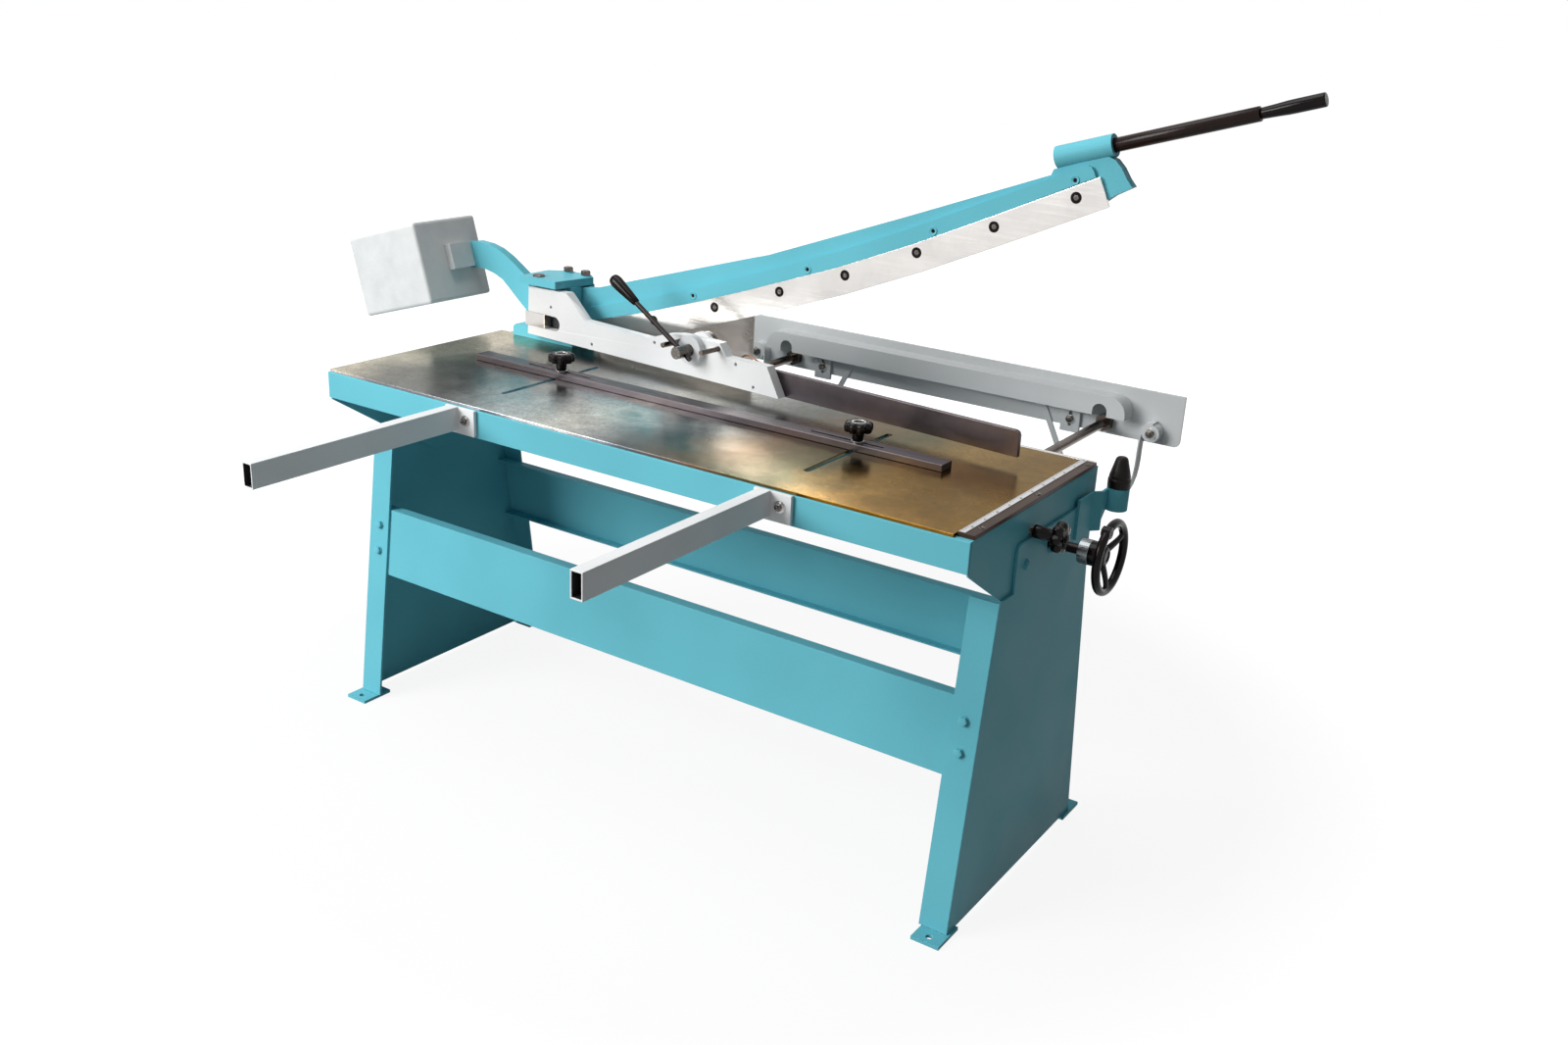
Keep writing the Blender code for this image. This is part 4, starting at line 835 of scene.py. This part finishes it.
def build_table_dressing():
    """Screws on the squaring bar, and ticks and plain numbers on its rule."""
    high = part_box("squaring_bar")[1]
    screws = bmesh.new()
    keys = bmesh.new()
    rule_low, rule_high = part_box("rule_strip")
    lane = (rule_high.x + high.x) / 2
    for y in SQUARING_SCREWS_Y:
        add_socket_screw(screws, keys, (lane, HOME.y + y, high.z - 0.0004), Z_AXIS, SQUARING_SCREW_RADIUS)
    piece("squaring_bar_screws", screws, NUT, "frame")
    piece("squaring_bar_screw_keys", keys, BLACK, "frame")

    ticks = bmesh.new()
    top = rule_high.z
    width = rule_high.x - rule_low.x
    count = int((rule_high.y - rule_low.y - 2 * TICK_MARGIN) / TICK_PITCH)
    for i in range(count + 1):
        y = rule_high.y - TICK_MARGIN - i * TICK_PITCH
        share, half = tick_shape(i)
        place = Matrix.Translation((rule_low.x + width * share / 2 + 0.0003, y, top))
        size = Matrix.Diagonal((width * share, half * 2, TICK_THICKNESS, 1))
        bmesh.ops.create_cube(ticks, size=1.0, matrix=place @ size)
    piece("rule_ticks", ticks, INK, "frame")
    for i in range(0, count + 1, 10):
        text = bpy.data.curves.new(f"rule_number_{i // 2}", "FONT")
        text.body = str(i // 2)
        text.size = NUMBER_SIZE
        text.extrude = NUMBER_THICKNESS
        text.align_x = "CENTER"
        text.align_y = "CENTER"
        obj = bpy.data.objects.new(f"rule_number_{i // 2}", text)
        y = rule_high.y - TICK_MARGIN - i * TICK_PITCH - NUMBER_SHIFT
        obj.location = (rule_high.x - NUMBER_INSET, y, top + NUMBER_THICKNESS)
        obj.rotation_euler = (0, 0, math.radians(90))
        text.materials.append(INK)
        bpy.context.scene.collection.objects.link(obj)
        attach(obj, "frame")


ARM_BOLT_INSET = Vector((0.0245, 0.0081, 0.0270))


def build_arm_mount_bolts():
    """Bolt and washer to the right of each support arm, on its mount plate."""
    washers = bmesh.new()
    nuts = bmesh.new()
    tip = [(0.0, 0.0040), (0.0028, 0.0040), (0.0034, 0.0032)]
    for side in ("left", "right"):
        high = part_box(f"{side}_support_arm")[1]
        place = high - ARM_BOLT_INSET
        add_washer(washers, place, -Y_AXIS, *ARM_WASHER)
        place = place - Y_AXIS * ARM_WASHER[1]
        add_bolt(washers, nuts, place, -Y_AXIS, ARM_SMALL_WASHER, ARM_NUT)
        add_turned(nuts, place - Y_AXIS * (ARM_SMALL_WASHER[1] + ARM_NUT[1]), -Y_AXIS, tip, 20)
    piece("arm_mount_washers", washers, BRIGHT, "frame")
    piece("arm_mount_bolts", nuts, NUT, "frame")


ARM_WALL = 0.0030
PLATE_OVERHANG = 0.0107
TUBE_WIDTH = 0.0268
TUBE_Z = (0.7936, 0.8449)
SHADE_SHEET = 0.0003
SHADE_SHEET_SETBACK = 0.0015
SHADE_SHEET_LENGTH = 0.45


def build_arm_tube_shade():
    """Near-black sheets inside the support arms' open tubes: painted shade in their hollow insides."""
    shade_sheets = bmesh.new()
    for side in ("left", "right"):
        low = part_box(f"{side}_support_arm")[0]
        mouth = low.y + SHADE_SHEET_SETBACK
        back = mouth + SHADE_SHEET_LENGTH
        x0 = low.x + PLATE_OVERHANG + ARM_WALL
        x1 = low.x + PLATE_OVERHANG + TUBE_WIDTH - ARM_WALL
        z0 = TUBE_Z[0] + ARM_WALL
        z1 = TUBE_Z[1] - ARM_WALL
        for near, far in (
            ((x0, mouth, z0), (x0 + SHADE_SHEET, back, z1)),
            ((x1 - SHADE_SHEET, mouth, z0), (x1, back, z1)),
            ((x0, mouth, z0), (x1, back, z0 + SHADE_SHEET)),
            ((x0, mouth, z1 - SHADE_SHEET), (x1, back, z1)),
        ):
            size = Vector(far) - Vector(near)
            place = Matrix.Translation((Vector(near) + Vector(far)) / 2)
            bmesh.ops.create_cube(shade_sheets, size=1.0, matrix=place @ Matrix.Diagonal((*size, 1)))
    # The near-black ink on these sheets is painted shade.
    piece("arm_tube_painted_shade", shade_sheets, INK, "frame")


BEAM_HALF = 0.0125
SLOT_END = 0.0880
SLOT_HEIGHT = 0.0350
SLOT_SHADOW_SHEET = 0.0010
SLOT_CLEARANCE = 0.0012


def build_beam_slot_shadow():
    """Dark plate at the back of the hold-down plate's slot, to the right of the slide block: painted shadow
    inside the slot.
    """
    normal = Vector(JOINTS["clamp_lever"]["axis"])
    along = Vector((normal.y, -normal.x, 0.0))
    hinge = Vector(JOINTS["beam_swing"]["pos_m"])
    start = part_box("slide_block")[1].x - hinge.x + SLOT_CLEARANCE
    plate = bmesh.new()
    turn = Matrix((along, normal, Z_AXIS)).transposed().to_4x4()
    centre = hinge + along * ((start + SLOT_END) / 2) + normal * (BEAM_HALF - SLOT_CLEARANCE)
    size = (SLOT_END - start, SLOT_SHADOW_SHEET, SLOT_HEIGHT)
    place = Matrix.Translation(centre) @ turn
    bmesh.ops.create_cube(plate, size=1.0, matrix=place @ Matrix.Diagonal((*size, 1)))
    # The near-black ink on this plate is painted shadow.
    piece("beam_slot_painted_shadow", plate, INK, "hold_down")


CAP_BOLTS = ((-0.640, 0.042), (-0.5785, 0.037))
PIVOT_DOME = (-0.655, -0.050)


def build_cap_bolts():
    """Bolts that hold the cap plate down on the cheeks, and the domed end of the swing pin."""
    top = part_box("pivot_cap_plate")[1].z
    bolts = bmesh.new()
    washers = bmesh.new()
    for x, y in CAP_BOLTS:
        add_bolt(washers, bolts, from_home(x, y, top), Z_AXIS, CAP_WASHER, CAP_HEAD)
    dome = [(0.0, 0.0150), (0.0030, 0.0148), (0.0050, 0.0130), (0.0060, 0.0080), (0.0061, 0.0030)]
    add_turned(bolts, from_home(*PIVOT_DOME, top), Z_AXIS, dome, 32)
    piece("cap_plate_washers", washers, TEAL, "frame")
    piece("cap_plate_bolts", bolts, NUT, "frame")


SPACER_RADIUS = 0.0210
STRAP_REACH = 0.0255


def build_gauge_fasteners():
    """Bolts on the slotted brackets and nuts on the strap spacers of the rear gauge."""
    washers = bmesh.new()
    bolts = bmesh.new()
    tip = [(0.0, 0.0048), (0.0060, 0.0048), (0.0068, 0.0038)]
    for side in ("left", "right"):
        low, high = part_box(f"{side}_slotted_bracket")
        place = Vector(((low.x + high.x) / 2, low.y, (low.z + high.z) / 2))
        add_bolt(washers, bolts, place, -Y_AXIS, SLOT_WASHER, SLOT_HEAD)
        low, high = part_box(f"{side}_strap")
        middle = high.x - SPACER_RADIUS if side == "right" else low.x + SPACER_RADIUS
        place = Vector((middle, low.y, high.z - STRAP_REACH))
        add_bolt(washers, bolts, place, -Y_AXIS, STRAP_WASHER, STRAP_NUT)
        add_turned(bolts, place - Y_AXIS * (STRAP_WASHER[1] + STRAP_NUT[1]), -Y_AXIS, tip, 20)
    piece("gauge_washers", washers, BRIGHT, "rear_gauge")
    piece("gauge_bolts", bolts, NUT, "rear_gauge")


# Spring wire as (distance right of HOME, height), in one upright plane.
SPRING_Y = -0.060
SPRING_WIRE = 0.0018
SPRING_PATH = [(-0.044, 0.916), (-0.030, 0.925), (-0.015, 0.934), (-0.003, 0.933), (0.009, 0.929),
               (0.020, 0.925), (0.032, 0.923), (0.044, 0.918)]


def build_return_spring():
    """Bent wire that shows behind the hold-down plate."""
    wire = bmesh.new()
    add_tube_path(wire, [from_home(x, SPRING_Y, z) for x, z in SPRING_PATH], SPRING_WIRE)
    piece("return_spring", wire, WIRE, "hold_down", 60.0)


# ---------------------------------------------------------------- studio

CAMERA_PLACE = from_home(1.8266, -2.7255, 1.7373)
CAMERA_AZIMUTH = math.radians(32.775)
CAMERA_ELEVATION = math.radians(20.388)
CAMERA_ROLL = math.radians(2.955)
CAMERA_LENS = 33.51


def build_camera():
    """Camera above the front right corner, with a slight roll."""
    data = bpy.data.cameras.new("camera")
    data.lens = CAMERA_LENS
    data.sensor_width = 36.0
    data.clip_end = 100.0
    camera = bpy.data.objects.new("camera", data)
    bpy.context.scene.collection.objects.link(camera)
    flat = math.cos(CAMERA_ELEVATION)
    height = math.sin(CAMERA_ELEVATION)
    back = Vector((math.sin(CAMERA_AZIMUTH) * flat, -math.cos(CAMERA_AZIMUTH) * flat, height))
    level = Vector((math.cos(CAMERA_AZIMUTH), math.sin(CAMERA_AZIMUTH), 0))
    upright = back.cross(level)
    right = level * math.cos(CAMERA_ROLL) + upright * math.sin(CAMERA_ROLL)
    up = upright * math.cos(CAMERA_ROLL) - level * math.sin(CAMERA_ROLL)
    turn = Matrix((right, up, back)).transposed()
    camera.matrix_world = Matrix.Translation(CAMERA_PLACE) @ turn.to_4x4()
    bpy.context.scene.camera = camera


def add_lamp(name, place, target, size, watts):
    """Square soft lamp aimed at a point."""
    data = bpy.data.lights.new(name, "AREA")
    data.shape = "SQUARE"
    data.size = size
    data.energy = watts
    lamp = bpy.data.objects.new(name, data)
    lamp.location = place
    lamp.rotation_euler = (Vector(target) - Vector(place)).to_track_quat("-Z", "Y").to_euler()
    bpy.context.scene.collection.objects.link(lamp)


AMBIENT = 0.14
FLOOR_GREY = 0.35
FLOOR_GLOW = 1.20
FLOOR_SIZE = 14.0
FLOOR_DROP = 0.0005
SHADOW_REACH = (1.2, 2.6)
SHADOW_SHARE = 0.25
LAMP_TARGET = from_home(0.0, -0.2, 0.8)
KEY_PLACE = from_home(-3.2, -5.2, 3.4)
KEY_SIZE = 3.2
KEY_WATTS = 440.0
TOP_PLACE = from_home(-0.8, -0.6, 5.2)
TOP_SIZE = 3.0
TOP_WATTS = 110.0


def backdrop_rays(tree):
    """1 for camera, glossy and transmission rays, 0 for the rays that carry light."""
    rays = tree.nodes.new("ShaderNodeLightPath")
    seen = rays.outputs["Is Camera Ray"]
    for kind in ("Is Glossy Ray", "Is Transmission Ray"):
        larger = tree.nodes.new("ShaderNodeMath")
        larger.operation = "MAXIMUM"
        tree.links.new(seen, larger.inputs[0])
        tree.links.new(rays.outputs[kind], larger.inputs[1])
        seen = larger.outputs[0]
    return seen


def build_world():
    """Plain white behind the machine, and a dim even light on it."""
    world = bpy.data.worlds.new("studio")
    world.use_nodes = True
    bpy.context.scene.world = world
    tree = world.node_tree
    background = tree.nodes["Background"]
    strength = tree.nodes.new("ShaderNodeMapRange")
    tree.links.new(backdrop_rays(tree), strength.inputs["Value"])
    strength.inputs["To Min"].default_value = AMBIENT
    strength.inputs["To Max"].default_value = 1.0
    tree.links.new(strength.outputs["Result"], background.inputs["Strength"])
    background.inputs["Color"].default_value = (1.0, 1.0, 1.0, 1.0)


def floor_material():
    """Pale matt floor that is seen as white, apart from a share of the shadow near the machine."""
    pale = bpy.data.materials.new("pale_floor")
    pale.use_nodes = True
    tree = pale.node_tree
    tree.nodes.clear()
    output = tree.nodes.new("ShaderNodeOutputMaterial")
    matt = tree.nodes.new("ShaderNodeBsdfDiffuse")
    matt.inputs["Color"].default_value = (FLOOR_GREY, FLOOR_GREY, FLOOR_GREY, 1.0)
    white = tree.nodes.new("ShaderNodeEmission")
    white.inputs["Strength"].default_value = FLOOR_GLOW
    coords = tree.nodes.new("ShaderNodeTexCoord")
    reach = tree.nodes.new("ShaderNodeVectorMath")
    reach.operation = "LENGTH"
    tree.links.new(coords.outputs["Object"], reach.inputs[0])
    share = tree.nodes.new("ShaderNodeMapRange")
    tree.links.new(reach.outputs["Value"], share.inputs["Value"])
    share.inputs["From Min"].default_value = SHADOW_REACH[0]
    share.inputs["From Max"].default_value = SHADOW_REACH[1]
    share.inputs["To Min"].default_value = 1.0 - SHADOW_SHARE
    share.inputs["To Max"].default_value = 1.0
    seen = tree.nodes.new("ShaderNodeMath")
    seen.operation = "MULTIPLY"
    tree.links.new(share.outputs["Result"], seen.inputs[0])
    tree.links.new(backdrop_rays(tree), seen.inputs[1])
    mix = tree.nodes.new("ShaderNodeMixShader")
    tree.links.new(seen.outputs[0], mix.inputs["Fac"])
    tree.links.new(matt.outputs[0], mix.inputs[1])
    tree.links.new(white.outputs[0], mix.inputs[2])
    tree.links.new(mix.outputs[0], output.inputs["Surface"])
    return pale


def build_studio():
    """White world, pale floor that keeps a soft shadow, and two soft lamps."""
    build_world()
    grid = bmesh.new()
    bmesh.ops.create_grid(grid, x_segments=8, y_segments=8, size=FLOOR_SIZE)
    mesh = bpy.data.meshes.new("floor")
    grid.to_mesh(mesh)
    grid.free()
    floor = bpy.data.objects.new("floor", mesh)
    bpy.context.scene.collection.objects.link(floor)
    floor.location = from_home(0, 0, -FLOOR_DROP)
    mesh.materials.append(floor_material())
    add_lamp("key", KEY_PLACE, LAMP_TARGET, KEY_SIZE, KEY_WATTS)
    add_lamp("top", TOP_PLACE, LAMP_TARGET, TOP_SIZE, TOP_WATTS)
    bpy.context.scene.view_settings.view_transform = "Standard"


finish_nodes()
build_gauge_knobs()
build_lock_knob()
build_handwheel()
build_handle()
build_lever()
build_buffer()
build_leg_bolts()
build_knife_screws()
build_table_dressing()
build_arm_mount_bolts()
build_arm_tube_shade()
build_beam_slot_shadow()
build_cap_bolts()
build_gauge_fasteners()
build_return_spring()
build_camera()
build_studio()

bpy.context.view_layer.update()
